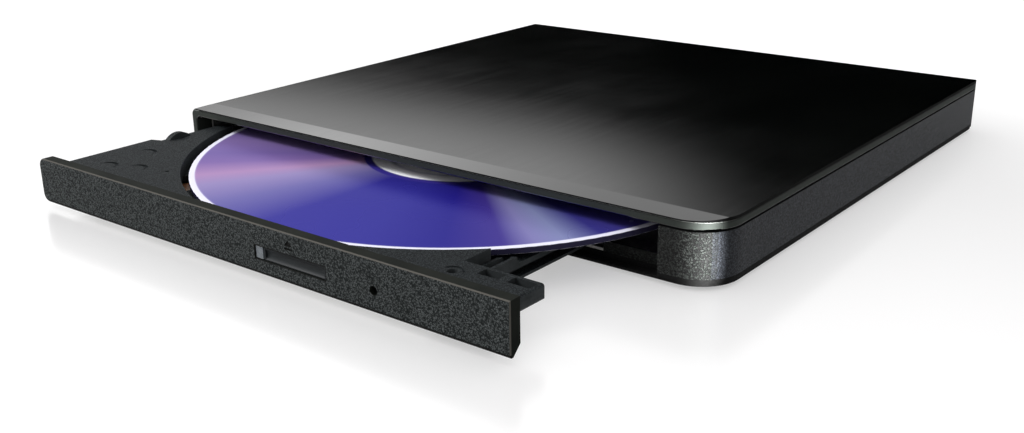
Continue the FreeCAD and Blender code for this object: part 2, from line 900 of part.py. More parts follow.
def deck_marks():
    """Shallow crescents and dots in the raised deck, and a half ring round the boss at the right."""
    bottom = plateau_top - mark_depth
    marks = []
    for across, depth in crescent_places:
        x = bezel_left + across
        y = in_tray(depth)
        whole = post(x, y, bottom, plateau_top + 1, crescent_radius)
        marks.append(whole.cut(post(x, y - crescent_shift, bottom - 1, plateau_top + 2, crescent_radius)))
    for across, depth in dot_places:
        marks.append(post(bezel_left + across, in_tray(depth), bottom, plateau_top + 1, dot_radius))
    y = in_tray(boss_mark_depth)
    ring = post(boss_mark_x, y, bottom, plateau_top + 1, boss_arc_radius)
    inside = post(boss_mark_x, y, bottom - 1, plateau_top + 2, boss_arc_radius - boss_arc_width)
    reach = 2 * boss_arc_radius
    front_half = block(boss_mark_x - reach, boss_mark_x + reach, y - reach, y + boss_arc_width,
                       bottom - 1, plateau_top + 2)
    marks.append(ring.cut([inside, front_half]))
    return marks


def tab_bump():
    """Rounded tab that stands where the wall of the disc well meets the tray's left edge."""
    x0 = bezel_left + plateau_step_gap
    centre = V(x0, in_tray(bump_back), bump_top - bump_radius)
    round_tab = Part.makeCylinder(bump_radius, 1.5, centre, X_AXIS)
    zone = block(x0 - 1, x0 + 5, centre.y - bump_radius, centre.y + bump_radius,
                 plateau_top - 0.5, bump_top + 1)
    return round_tab.common(zone)


rib_width = 0.7
rib_rise = 0.8


def well_ribs():
    """Low ribs on the stepped-down edge behind the ear, along the tray and across it."""
    y0 = in_tray(bezel_thickness + ear_depth) - 0.1
    y1 = y0 + 3 * side_step
    z0 = ledge_top - 0.3
    z1 = ledge_top + rib_rise
    inner = tray_right - side_step + rib_width
    outer = tray_right - rib_width
    ribs = [block(x, x + rib_width, y0, y1, z0, z1) for x in (inner, outer)]
    ribs.append(block(inner, outer + rib_width / 2, y1 - rib_width, y1, z0, z1))
    return [rib.cut(disc_well()) for rib in ribs]


def latch_channel():
    """Open channel under the tray along which the fixed latch post passes."""
    half = latch_post_radius + 0.6
    return block(latch_post_x - half, latch_post_x + half, in_tray(13.0), in_tray(tray_length) + 1,
                 tray_bottom - 1, well_floor_top - skin + 0.4)


flex_strip_x = bezel_left + 25.4
flex_strip_width = 7.0
strip_start = 9.8
strip_end = 35.9


def flex_window():
    """Window in the well floor through which the pickup's flat cable shows."""
    return block(flex_strip_x - 0.8, flex_strip_x + flex_strip_width + 0.8, in_tray(9.5), in_tray(21.0),
                 well_floor_top - skin - 0.2, well_floor_top + 0.2)


boss_mark_inset = 17.6
boss_mark_x = bezel_right - boss_mark_inset
boss_mark_depth = 6.9
boss_hole_radius = 0.9
boss_hole_depth = 1.6
tray_screw_radius = 0.8
tray_screw_head = 1.4
tray_screw_rise = 0.15


def tray_screw_places():
    return [
        (tray_left + 6.0, in_tray(6.5)),
        (tray_left + 6.0, in_tray(tray_length - 14.0)),
        (tray_right - 8.5, in_tray(tray_length - 8.0)),
    ]


def tray_screws():
    """Three screws that hold the sheet cover from below."""
    screws = []
    for x, y in tray_screw_places():
        head = post(x, y, cover_sheet_z - tray_screw_rise, cover_sheet_z, tray_screw_head)
        shank = post(x, y, cover_sheet_z - 0.05, well_floor_top - skin - 0.1, tray_screw_radius)
        screws.append(merge([head, shank]))
    return screws


cover_sheet = 0.22
cover_sheet_z = tray_bottom - cover_sheet - 0.02


def tray_bottom_cover():
    """Thin sheet under the tray with a window below the carriage."""
    x1 = latch_post_x - latch_post_radius - 1.0
    sheet = block(tray_left + 0.4, x1, in_tray(bezel_thickness + 1.0), in_tray(tray_length - 0.6),
                  cover_sheet_z, cover_sheet_z + cover_sheet)
    window = on_deck(deck_block(-deck_inner + 4, deck_outer - 4, -deck_left + 4, deck_right - 4, 0, 5))
    holes = [post(x, y, 0, 5, tray_screw_radius + 0.05) for x, y in tray_screw_places()]
    holes.append(block(flex_x - 0.6, flex_x + flex_width + 0.6, in_tray(flex_entry - 1.5),
                       in_tray(flex_entry + 0.5), 0, 5))
    return cut(sheet, [window] + holes)


def bezel():
    """Front panel with the button's slot, the release hole and an eject symbol."""
    y0 = in_tray(0)
    y1 = in_tray(bezel_thickness)
    panel = block(bezel_left, bezel_right, y0, y1, bezel_bottom, bezel_top)
    panel = round_edges(
        panel, bezel_corner,
        lambda e, m: m.x < bezel_left + 0.01 and abs(m.y - (y0 + y1) / 2) < 0.1,
    )
    lower_back = side_prism(
        [
            (y1 - bezel_chamfer, bezel_bottom - 0.01),
            (y1 + 0.01, bezel_bottom + bezel_chamfer),
            (y1 + 0.01, bezel_bottom - 0.01),
        ],
        bezel_left - 1, bezel_right + 1,
    )
    slot = block(button_x0, button_x1, y0 - 1, y1 + 1, button_z0, button_z1)
    hole = bar(V(release_x, y0 - 1, release_z), Y_AXIS, bezel_thickness + 2, release_hole_radius)
    triangle_low = bezel_top - symbol_below_top - symbol_height
    triangle = front_prism(
        [
            (button_middle - symbol_width / 2, triangle_low),
            (button_middle + symbol_width / 2, triangle_low),
            (button_middle, triangle_low + symbol_height),
        ],
        y0 - 1, y0 + symbol_depth,
    )
    bar_top = triangle_low - symbol_gap
    dash = block(button_middle - symbol_width / 2, button_middle + symbol_width / 2, y0 - 1,
                 y0 + symbol_depth, bar_top - symbol_bar, bar_top)
    panel = cut(panel, [lower_back, slot, hole, triangle, dash])

    def front_rim(edge, middle):
        at_face = abs(middle.y - y0) < 0.01
        outer = (
            middle.z > bezel_top - 0.01 or middle.z < bezel_bottom + 0.01
            or middle.x > bezel_right - 0.01 or middle.x < bezel_left + bezel_corner
        )
        return at_face and outer

    edges = [e for e in panel.Edges if front_rim(e, e.valueAt((e.FirstParameter + e.LastParameter) / 2))]
    return panel.makeChamfer(bezel_edge, edges)


cap_x0 = button_x0 + button_gap + lens_width + 2 * button_gap
cap_x1 = button_x1 - button_gap
cap_front = 0.2
flange_back_gap = 0.3
flange_thickness = 0.8
stem_width = 2.4


def eject_button():
    """Bar-shaped button with a scooped front, a hidden flange and a stem to its switch."""
    z0 = button_z0 + button_gap
    z1 = button_z1 - button_gap
    y0 = in_tray(cap_front)
    y1 = in_tray(bezel_thickness + flange_back_gap)
    cap = block(cap_x0, cap_x1, y0, y1, z0, z1)
    height = z1 - z0
    half = height / 2 - 0.15
    scoop_radius = (half ** 2 + button_scoop ** 2) / (2 * button_scoop)
    scoop = bar(V(cap_x0 - 1, y0 - scoop_radius + button_scoop, (z0 + z1) / 2), X_AXIS,
                cap_x1 - cap_x0 + 2, scoop_radius)
    end_wall = 0.35
    scoop = scoop.common(block(cap_x0 + end_wall, cap_x1 - end_wall, y0 - 5, y0 + 2, z0, z1))
    flange = block(cap_x0, cap_x1 + 0.9, y1, y1 + flange_thickness, z0 - 0.5, z1 + 0.5)
    stem = block(button_middle - stem_width / 2, button_middle + stem_width / 2, y1,
                 in_tray(switch_front - 0.6), z0 + 0.4, z1 - 0.2)
    return cut(merge([cap, flange, stem]), [scoop])


switch_front = 6.6
eject_board_front = 4.8
eject_board_back = 12.4
eject_board_bottom = 3.62
eject_board_thickness = 0.6


def switch_plunger():
    middle_z = (button_z0 + button_z1) / 2
    return block(button_middle - 0.8, button_middle + 0.8,
                 in_tray(switch_front - 0.6), in_tray(switch_front + 0.8), middle_z - 0.5, middle_z + 0.5)


def eject_switch():
    middle_z = (button_z0 + button_z1) / 2
    body = block(button_middle - 2.6, button_middle + 2.6, in_tray(switch_front), in_tray(switch_front + 3.4),
                 eject_board_bottom + eject_board_thickness, button_z1 + 0.2)
    hole = block(button_middle - 0.9, button_middle + 0.9,
                 in_tray(switch_front) - 1, in_tray(switch_front + 1.7), middle_z - 0.6, middle_z + 0.6)
    return cut(body, [hole])


def eject_board():
    top = eject_board_bottom + eject_board_thickness
    return block(button_x0 - 1.2, button_x1 + 1.4, in_tray(eject_board_front), in_tray(eject_board_back),
                 eject_board_bottom, top)


def status_led():
    top = eject_board_bottom + eject_board_thickness
    x = button_x0 + button_gap + lens_width / 2
    return block(x - 0.7, x + 0.7, in_tray(5.2), in_tray(6.4), top, top + 0.9)


def light_pipe():
    """Clear lens at the left end of the button's slot."""
    x0 = button_x0 + button_gap
    z0 = button_z0 + button_gap
    z1 = button_z1 - button_gap
    return block(x0, x0 + lens_width, in_tray(cap_front), in_tray(5.0), z0, z1)


def release_slider():
    """Slider behind the small hole, pushed by a pin to free the tray without power."""
    body = block(release_x - 1.8, release_x + 1.8, in_tray(bezel_thickness + 0.4), in_tray(9.0),
                 release_z - 1.1, release_z + 0.9)
    nose = block(release_x + 0.6, release_x + 1.8, in_tray(8.9), in_tray(10.6),
                 release_z - 1.1, release_z + 0.9)
    return merge([body, nose])


# Latch

latch_pivot_x = latch_post_x - 5.6
latch_pivot_depth = 15.0
latch_angle = 22.0
latch_bottom = 4.2
latch_top = 5.2
latch_pin_radius = 0.8


def latch_lever():
    """Hook in its released position; it turns back by the latch angle to hold the post."""
    px = latch_pivot_x
    py = in_tray(latch_pivot_depth)
    tip_x = latch_post_x + latch_post_radius + 0.1
    hook_front = py + latch_post_depth - latch_pivot_depth + latch_post_radius + 0.4
    outline = [
        (px - 1.4, py - 1.4),
        (px + 1.4, py - 1.4),
        (px + 1.6, hook_front - 1.2),
        (px + 3.0, hook_front),
        (tip_x, hook_front),
        (tip_x - 1.2, hook_front + 1.4),
        (px - 0.6, hook_front + 1.4),
    ]
    plate = prism(outline, latch_bottom, latch_top)
    hub = post(px, py, latch_bottom, latch_top, 1.9)
    bore = post(px, py, latch_bottom - 1, latch_top + 1, latch_pin_radius + fit_play)
    lever = cut(merge([plate, hub]), [bore])
    lever.rotate(V(px, py, 0), Z_AXIS, latch_angle)
    return lever


def latch_pin():
    """Pin on which the hook turns, with a small head below it."""
    px = latch_pivot_x
    py = in_tray(latch_pivot_depth)
    return merge([
        post(px, py, latch_bottom - 0.3, well_floor_top - skin, latch_pin_radius),
        post(px, py, latch_bottom - 0.6, latch_bottom - 0.25, latch_pin_radius + 0.5),
    ])


solenoid_depth = 20.0
solenoid_length = 9.0
solenoid_height = 2.4
solenoid_gap = 4.4
armature_radius = 0.7


def solenoid():
    """Release magnet: coil case with a bore for its armature."""
    x1 = latch_pivot_x - solenoid_gap
    y = in_tray(solenoid_depth)
    z = 3.6
    body = block(x1 - solenoid_length, x1, y - 2.6, y + 2.6, z, z + solenoid_height - 0.65)
    bore = bar(V(x1 - solenoid_length + 1, y, z + 0.85), X_AXIS, solenoid_length, armature_radius + fit_play)
    return cut(body, [bore])


def armature():
    x1 = latch_pivot_x - solenoid_gap
    y = in_tray(solenoid_depth)
    return bar(V(x1 - solenoid_length + 3.4, y, 4.45), X_AXIS, solenoid_length - 3.4 + 0.5, armature_radius)


# Ejector

ejector_x = 8.0
ejector_radius = 0.6
ejector_z = 4.4
ejector_reach = 1.9
ejector_length = 20.0
ejector_tip = tray_length + ejector_reach
holder_back_gap = 2.4
holder_length = 11.6


def ejector_rod():
    """Sprung rod at the back of the tray that pushes it open."""
    start = V(ejector_x, in_tray(ejector_tip - ejector_length), ejector_z)
    return bar(start, Y_AXIS, ejector_length, ejector_radius)


def ejector_holder():
    """Guide block of the sprung rod."""
    y1 = in_tray(tray_length - holder_back_gap)
    y0 = y1 - holder_length
    body = block(ejector_x - 2.4, ejector_x + 2.4, y0, y1, tray_bottom + 0.1, well_floor_top - skin - 0.05)
    bore = bar(V(ejector_x, y0 - 1, ejector_z), Y_AXIS, holder_length + 2, ejector_radius + fit_play)
    return cut(body, [bore])


# Carriage

def traverse_frame():
    """Pressed frame round the pickup's path with seats for both rods."""
    ring = deck_block(-deck_inner, deck_outer, -deck_left, deck_right, deck_bottom, deck_top)
    seat_top = rod_height + rod_radius + 0.5
    half = rod_spacing / 2
    seats = []
    for w in (-half, half):
        for u0 in (deck_window_inner - 2.2, deck_outer - deck_rim):
            seats.append(deck_block(u0, u0 + 2.2, w - 1.6, w + 1.6, deck_top - 0.1, seat_top))
    seats.append(deck_block(deck_outer - deck_rim, deck_outer - 0.2, screw_offset + 0.3, screw_offset + 2.6,
                            deck_top - 0.1, seat_top))
    lugs = []
    for u, w in bush_places:
        lugs.append(post(u, w, deck_bottom, deck_top, bush_radius + 1.0))
    body = merge([ring] + seats + lugs)
    window = deck_block(deck_window_inner, deck_outer - deck_rim, -deck_left + deck_rim,
                        deck_right - deck_screw_rim, 0, deck_top + 5)
    window = window.cut([s for s in seats])
    tools = [window, post(0, 0, 0, 9, rotor_radius + 0.9)]
    length = deck_outer - deck_window_inner
    for w in (-half, half):
        tools.append(bar(V(deck_window_inner - 1.4, w, rod_height), X_AXIS, length + 0.2, rod_radius + 0.01))
    tools.append(bar(V(deck_outer - deck_rim - 1, screw_offset + screw_shift, rod_height), X_AXIS,
                     deck_rim + 0.6, screw_radius + fit_play))
    tools.append(bar(V(-screw_start - 3, screw_offset + screw_shift, rod_height), X_AXIS,
                     deck_window_inner + screw_start + 4, screw_radius + 0.25))
    for u, w in bush_places:
        tools.append(post(u, w, 0, 9, bush_radius + 0.02))
    return cut(body, tools)


screw_shift = 1.1
bush_places = [(-deck_inner - 3.4, 0), (52.0, -deck_left - 3.2), (48.0, deck_right + 3.0)]


def damper_bushes():
    return [
        cut(post(u, w, deck_bottom - 0.1, deck_bottom - 0.1 + bush_height, bush_radius),
            [post(u, w, 0, 9, 1.1)])
        for u, w in bush_places
    ]


def traverse_screws():
    screws = []
    for u, w in bush_places:
        screws.append(merge([
            post(u, w, deck_bottom - 0.15, deck_bottom - 0.1, 1.05),
            post(u, w, deck_bottom - 0.15, well_floor_top - skin, 1.0),
        ]))
    return screws


def guide_rods():
    length = deck_outer - deck_window_inner - 0.8
    return [
        bar(V(deck_window_inner - 1.3, w, rod_height), X_AXIS, length, rod_radius)
        for w in (-rod_spacing / 2, rod_spacing / 2)
    ]


coil_ring = 6.4
coil_radius = 1.7


def spindle_base():
    """Fixed stator plate with coils and the bearing sleeve."""
    plate = post(0, 0, deck_bottom, deck_bottom + 0.6, rotor_radius + 0.8)
    sleeve = post(0, 0, deck_bottom, rotor_bottom + 0.9, 2.2)
    coils = []
    for step in range(6):
        angle = math.radians(60 * step)
        x = coil_ring * math.cos(angle)
        y = coil_ring * math.sin(angle)
        coils.append(post(x, y, deck_bottom + 0.5, rotor_bottom - 0.25, coil_radius))
    body = merge([plate, sleeve] + coils)
    return cut(body, [post(0, 0, deck_bottom + 0.5, 9, shaft_radius + fit_play)])


def spindle_rotor():
    """Turning cup with the shaft."""
    cup = post(0, 0, rotor_bottom, rotor_top, rotor_radius)
    inside = post(0, 0, rotor_bottom - 1, rotor_bottom + 1.2, rotor_radius - 0.8)
    shaft = post(0, 0, deck_bottom + 0.6, rotor_bottom + 1.3, shaft_radius)
    return merge([cut(cup, [inside]), shaft])


def turntable_ring():
    """Rubber ring under the disc."""
    return cut(post(0, 0, rotor_top, disc_bottom, rotor_radius), [post(0, 0, rotor_top - 1, 9, 8.2)])


def clamp_hub():
    """Centring hub with slots for the three clamp jaws."""
    top = disc_bottom + hub_height
    radius = disc_hole_radius - hub_play
    hub = merge([
        post(0, 0, rotor_top, disc_bottom + 1.0, radius),
        Part.makeCone(radius, radius - 0.9, hub_height - 1.0, V(0, 0, disc_bottom + 1.0), Z_AXIS),
    ])
    slots = []
    for step in range(3):
        slot = block(3.6, radius + 1, -1.5, 1.5, disc_bottom + 0.2, top + 1)
        slot.rotate(V(0, 0, 0), Z_AXIS, 120 * step + 60)
        slots.append(slot)
    slots.append(post(0, 0, disc_bottom + 1.2, top + 1, 2.2))
    return cut(hub, slots)


def clamp_jaws():
    jaws = []
    radius = disc_hole_radius - hub_play
    for step in range(3):
        body = block(3.8, radius - 0.1, -1.3, 1.3, disc_bottom + 0.2, disc_bottom + disc_thickness + 0.15)
        lip = block(radius - 1.2, radius + 0.4, -1.3, 1.3, disc_bottom + disc_thickness + 0.02,
                    disc_bottom + disc_thickness + 0.35)
        jaw = merge([body, lip])
        jaw.rotate(V(0, 0, 0), Z_AXIS, 120 * step + 60)
        jaws.append(jaw)
    return jaws


def disc():
    """Recordable disc, 120 mm across, with the stacking ring below."""
    top = disc_bottom + disc_thickness
    plate = post(0, 0, disc_bottom, top, disc_radius)
    ring = cut(
        post(0, 0, disc_bottom - disc_ring_height, disc_bottom + 0.1, disc_ring_radius + disc_ring_width),
        [post(0, 0, 0, 9, disc_ring_radius)],
    )
    body = cut(merge([plate, ring]), [post(0, 0, 0, 20, disc_hole_radius)])
    return round_edges(
        body, 0.2,
        lambda e, m: abs(math.hypot(m.x, m.y) - disc_radius) < 0.01 and e.Length > 100,
    )


def sled_motor():
    """Flattened stepper motor at the inner end of the lead screw."""
    w = screw_offset + screw_shift
    u1 = -screw_start
    can = bar(V(u1 - 9, w, rod_height), X_AXIS, 9, 3.0)
    flat = deck_block(u1 - 10, u1 + 1, w - 3.2, w + 3.2, deck_top + 0.02, disc_bottom - 0.5)
    bore = bar(V(u1 - 4, w, rod_height), X_AXIS, 5, screw_radius + fit_play)
    return cut(can.common(flat), [bore])


def lead_screw():
    """Screw with a spiral thread, drawn as rings one pitch apart."""
    w = screw_offset + screw_shift
    start = -screw_start - 2.5
    core = bar(V(start, w, rod_height), X_AXIS, deck_outer - 0.6 - start, screw_radius - 0.2)
    rings = []
    count = int((deck_outer - deck_rim - 4) / screw_pitch)
    for step in range(count):
        rings.append(bar(V(1.0 + screw_pitch * step, w, rod_height), X_AXIS, screw_pitch / 2, screw_radius))
    return merge([core] + rings)


def pickup_sled():
    """Carriage with rod bushes, a fork and the finger that follows the screw."""
    u0 = pickup_lens_radius - pickup_inner_reach
    u1 = pickup_lens_radius + pickup_outer_reach
    length = u1 - u0
    half = pickup_width / 2
    body = deck_block(u0, u1, -half, half, deck_bottom + 0.3, sled_top)
    rod_half = rod_spacing / 2
    bush = deck_block(u0 + 1, u1 - 1, -rod_half - 1.1, -half + 0.1, rod_height - 1.4, rod_height + 1.5)
    fork = deck_block(u0 + 7, u0 + 14, half - 0.1, rod_half + fork_wall, rod_height - 1.4, rod_height + 1.4)
    finger_end = screw_offset + screw_shift - screw_radius - 0.1
    finger = deck_block(u0 + 8, u0 + 11, rod_half + fork_wall - 0.1, finger_end,
                        rod_height - 0.5, rod_height + 0.5)
    tools = [
        bar(V(u0 - 5, -rod_half, rod_height), X_AXIS, length + 10, rod_radius + fit_play),
        bar(V(u0 - 5, rod_half, rod_height), X_AXIS, length + 10, rod_radius + fit_play),
        deck_block(pickup_lens_radius - 5.4, pickup_lens_radius + 5.4, -5.0, 5.0, deck_bottom + 1.3, 9),
    ]
    inner = post(0, 0, 0, 9, rotor_radius + 0.7)
    return merge([cut(merge([body, bush, fork]), tools + [inner]), finger])


def lens_holder():
    """Moving block that carries the objective."""
    z0 = deck_bottom + 1.3 + holder_play + 0.4
    body = deck_block(pickup_lens_radius - 4.2, pickup_lens_radius + 4.2, -3.6, 3.6, z0, holder_top)
    return cut(body, [post(pickup_lens_radius, 0, z0 + 0.4, 9, lens_radius + 0.02)])


lens_curve = 6.0
lens_rise = 0.3


def objective_lens():
    z0 = deck_bottom + 1.3 + holder_play + 0.8
    low = post(pickup_lens_radius, 0, z0, holder_top, lens_radius)
    dome = Part.makeSphere(lens_curve, V(pickup_lens_radius, 0, holder_top + lens_rise - lens_curve))
    cap = dome.common(post(pickup_lens_radius, 0, holder_top - 0.05, disc_bottom, lens_radius))
    return merge([low, cap])


def magnet_yokes():
    """Two magnets beside the lens holder."""
    return [
        deck_block(pickup_lens_radius + s - 0.35, pickup_lens_radius + s + 0.35, -3.4, 3.4,
                   deck_bottom + 1.32, sled_top - 0.1)
        for s in (-4.95, 4.95)
    ]


# Boards in the tray

main_board_z = 3.65
main_board_thickness = 0.6
main_board_front = 15.0
main_board_back = 42.0
board_leg_overlap = 4.0
board_leg_margin = 2.0
board_side_gap = 1.0
chip_spots = [
    (38.4, 6.0, 10.0, 10.0, 0.85), (54.4, 8.0, 7.0, 7.0, 0.8), (66.4, 7.0, 5.0, 6.0, 0.8),
    (14.4, 9.0, 8.0, 5.0, 0.8), (14.4, 18.0, 5.0, 4.0, 0.7), (62.4, 19.0, 3.0, 1.6, 0.6),
    (46.4, 20.0, 3.0, 1.6, 0.6),
]


def main_board():
    """Control board under the tray: a wide front part and a leg to the right of the spindle."""
    top = main_board_z + main_board_thickness
    solenoid_left = latch_pivot_x - solenoid_gap - solenoid_length
    front = block(cavity_left + board_side_gap, solenoid_left - board_side_gap, in_tray(main_board_front),
                  in_tray(main_board_back), main_board_z, top)
    leg = block(flex_x - board_leg_margin, flex_x + flex_width + board_leg_margin,
                in_tray(main_board_back - board_leg_overlap), in_tray(flex_entry + board_leg_overlap),
                main_board_z, top)
    room = board_side_gap / 2
    notches = [
        on_deck(post(*bush_places[0], 0, disc_bottom, bush_radius + 1.0 + room)),
        on_deck(deck_block(-deck_inner - room, deck_outer + room, -deck_left - room, deck_right + room,
                           0, disc_bottom)),
    ]
    return cut(merge([front, leg]), notches)


def main_chips():
    """Packages on the control board, placed from its left front corner."""
    z = main_board_z + main_board_thickness
    chips = []
    for across, depth, width, length, height in chip_spots:
        x = cavity_left + board_side_gap + across
        y = in_tray(main_board_front + depth)
        chips.append(block(x - width / 2, x + width / 2, y - length / 2, y + length / 2, z, z + height))
    return chips


def flex_sockets():
    """Connectors of the two flat cables on the control board."""
    z = main_board_z + main_board_thickness
    y = in_tray(flex_entry)
    return [
        block(flex_strip_x - 0.6, flex_strip_x + flex_strip_width + 0.6,
              in_tray(strip_end + 0.1), in_tray(strip_end + 3.1), z, z + 0.9),
        block(flex_x - 0.6, flex_x + flex_width + 0.6, y - 3.0, y, z, z + 0.9),
    ]


def pickup_flex():
    """Flat cable that shows through the well floor and runs back to the pickup."""
    return block(flex_strip_x, flex_strip_x + flex_strip_width, in_tray(strip_start), in_tray(strip_end),
                 well_floor_top - skin - flex_thickness - 0.08, well_floor_top - skin - 0.08)


def build_all():
    os.makedirs("parts", exist_ok=True)
    export("top_cover", [top_cover()])
    export("bottom_case", [bottom_case()])
    export("rubber_feet", [rubber_foot(x, y) for x, y in foot_places()])
    export("case_screws", case_screws())
    export("guide_screws", guide_screws())
    export("drive_pan", [drive_pan()])
    export("drive_top_plate", [drive_top_plate()])
    export("top_plate_screws", top_plate_screws())
    export("latch_post", [latch_post()])
    export("left_rail_guide", [rail_guide(-1)])
    export("right_rail_guide", [rail_guide(1)])
    export("left_rail", [rail(-1)])
    export("right_rail", [rail(1)])
    export("bridge_board", [bridge_board()])
    export("usb_socket", [usb_socket()])
    export("bridge_parts", bridge_parts())
    export("drive_connector", [drive_connector()])
    export("bridge_connector", [bridge_connector()])
    export("rear_board", [rear_board()])
    export("tray_flex_cable", [flat_cable()])
    export("tray_frame", [tray_frame()])
    export("tray_screws", tray_screws())
    export("tray_bottom_cover", [tray_bottom_cover()])
    export("bezel", [bezel()])
    export("eject_button", [eject_button()])
    export("switch_plunger", [switch_plunger()])
    export("eject_switch", [eject_switch()])
    export("eject_board", [eject_board()])
    export("status_led", [status_led()])
    export("light_pipe", [light_pipe()])
    export("release_slider", [release_slider()])
    export("latch_lever", [latch_lever()])
    export("latch_pin", [latch_pin()])
    export("solenoid", [solenoid()])
    export("solenoid_armature", [armature()])
    export("ejector_rod", [ejector_rod()])
    export("ejector_holder", [ejector_holder()])
    export("traverse_frame", [on_deck(traverse_frame())])
    export("damper_bushes", [on_deck(s) for s in damper_bushes()])
    export("traverse_screws", [on_deck(s) for s in traverse_screws()])
    export("guide_rods", [on_deck(s) for s in guide_rods()])
    export("spindle_base", [on_deck(spindle_base())])
    export("spindle_rotor", [on_deck(spindle_rotor())])
    export("turntable_ring", [on_deck(turntable_ring())])
    export("clamp_hub", [on_deck(clamp_hub())])
    export("clamp_jaws", [on_deck(s) for s in clamp_jaws()])
    export("disc", [on_deck(disc())])
    export("sled_motor", [on_deck(sled_motor())])
    export("lead_screw", [on_deck(lead_screw())])
    export("pickup_sled", [on_deck(pickup_sled())])
    export("lens_holder", [on_deck(lens_holder())])
    export("objective_lens", [on_deck(objective_lens())])
    export("magnet_yokes", [on_deck(s) for s in magnet_yokes()])
    export("main_board", [main_board()])
    export("main_chips", main_chips())
    export("flex_sockets", flex_sockets())
    export("pickup_flex", [pickup_flex()])


build_all()
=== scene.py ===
import bpy
import json
import math
from mathutils import Matrix, Vector


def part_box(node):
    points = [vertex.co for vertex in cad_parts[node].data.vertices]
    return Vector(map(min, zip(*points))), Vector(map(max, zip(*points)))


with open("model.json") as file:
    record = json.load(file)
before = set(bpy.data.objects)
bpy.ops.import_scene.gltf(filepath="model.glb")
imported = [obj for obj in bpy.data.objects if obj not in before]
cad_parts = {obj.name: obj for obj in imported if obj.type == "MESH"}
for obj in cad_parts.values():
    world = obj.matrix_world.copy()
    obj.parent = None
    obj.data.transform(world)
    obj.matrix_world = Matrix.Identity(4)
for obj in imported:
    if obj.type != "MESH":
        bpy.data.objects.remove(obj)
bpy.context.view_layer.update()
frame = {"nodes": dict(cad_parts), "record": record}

# Looks of a slim portable disc writer, in metres, in the frame of the solid model.

MM = 0.001
disc_low, disc_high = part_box("disc")
disc_centre = (disc_low + disc_high) / 2
disc_edge = (disc_high.x - disc_low.x) / 2
case_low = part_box("bottom_case")[0]
bezel_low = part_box("bezel")[0]
base_band_height = 1.4 * MM
base_band_top = case_low.z + base_band_height

# The cover's front slope drops by this much; below its edge the rim carries a painted groove shade (a dark
# line) and, under it, a painted highlight on the lip (a light line).
cover_slope_drop = 0.4 * MM
cover_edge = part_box("top_cover")[1].z - cover_slope_drop
groove_shade_depth = 0.26 * MM
lip_highlight_depth = 0.44 * MM

# The button's and the indicator's opening in the bezel, from the points at the bezel's face.
slot_points = [part.matrix_world @ point.co
               for part in (frame["nodes"]["eject_button"], frame["nodes"]["light_pipe"])
               for point in part.data.vertices]
slot_reach = 0.6 * MM
slot_points = [point for point in slot_points if point.y < bezel_low.y + slot_reach]
slot_left = min(point.x for point in slot_points)
slot_right = max(point.x for point in slot_points)
slot_base = min(point.z for point in slot_points)
slot_top = max(point.z for point in slot_points)
# Painted shade on the bezel: the width of the dark line round the opening, the height of the dark line along
# the foot, and the depth past which set-back front faces are painted dark.
slot_shade_width = 0.32 * MM
foot_shade_height = 0.55 * MM
recess_shade_start = 0.06 * MM


# Node graph helpers

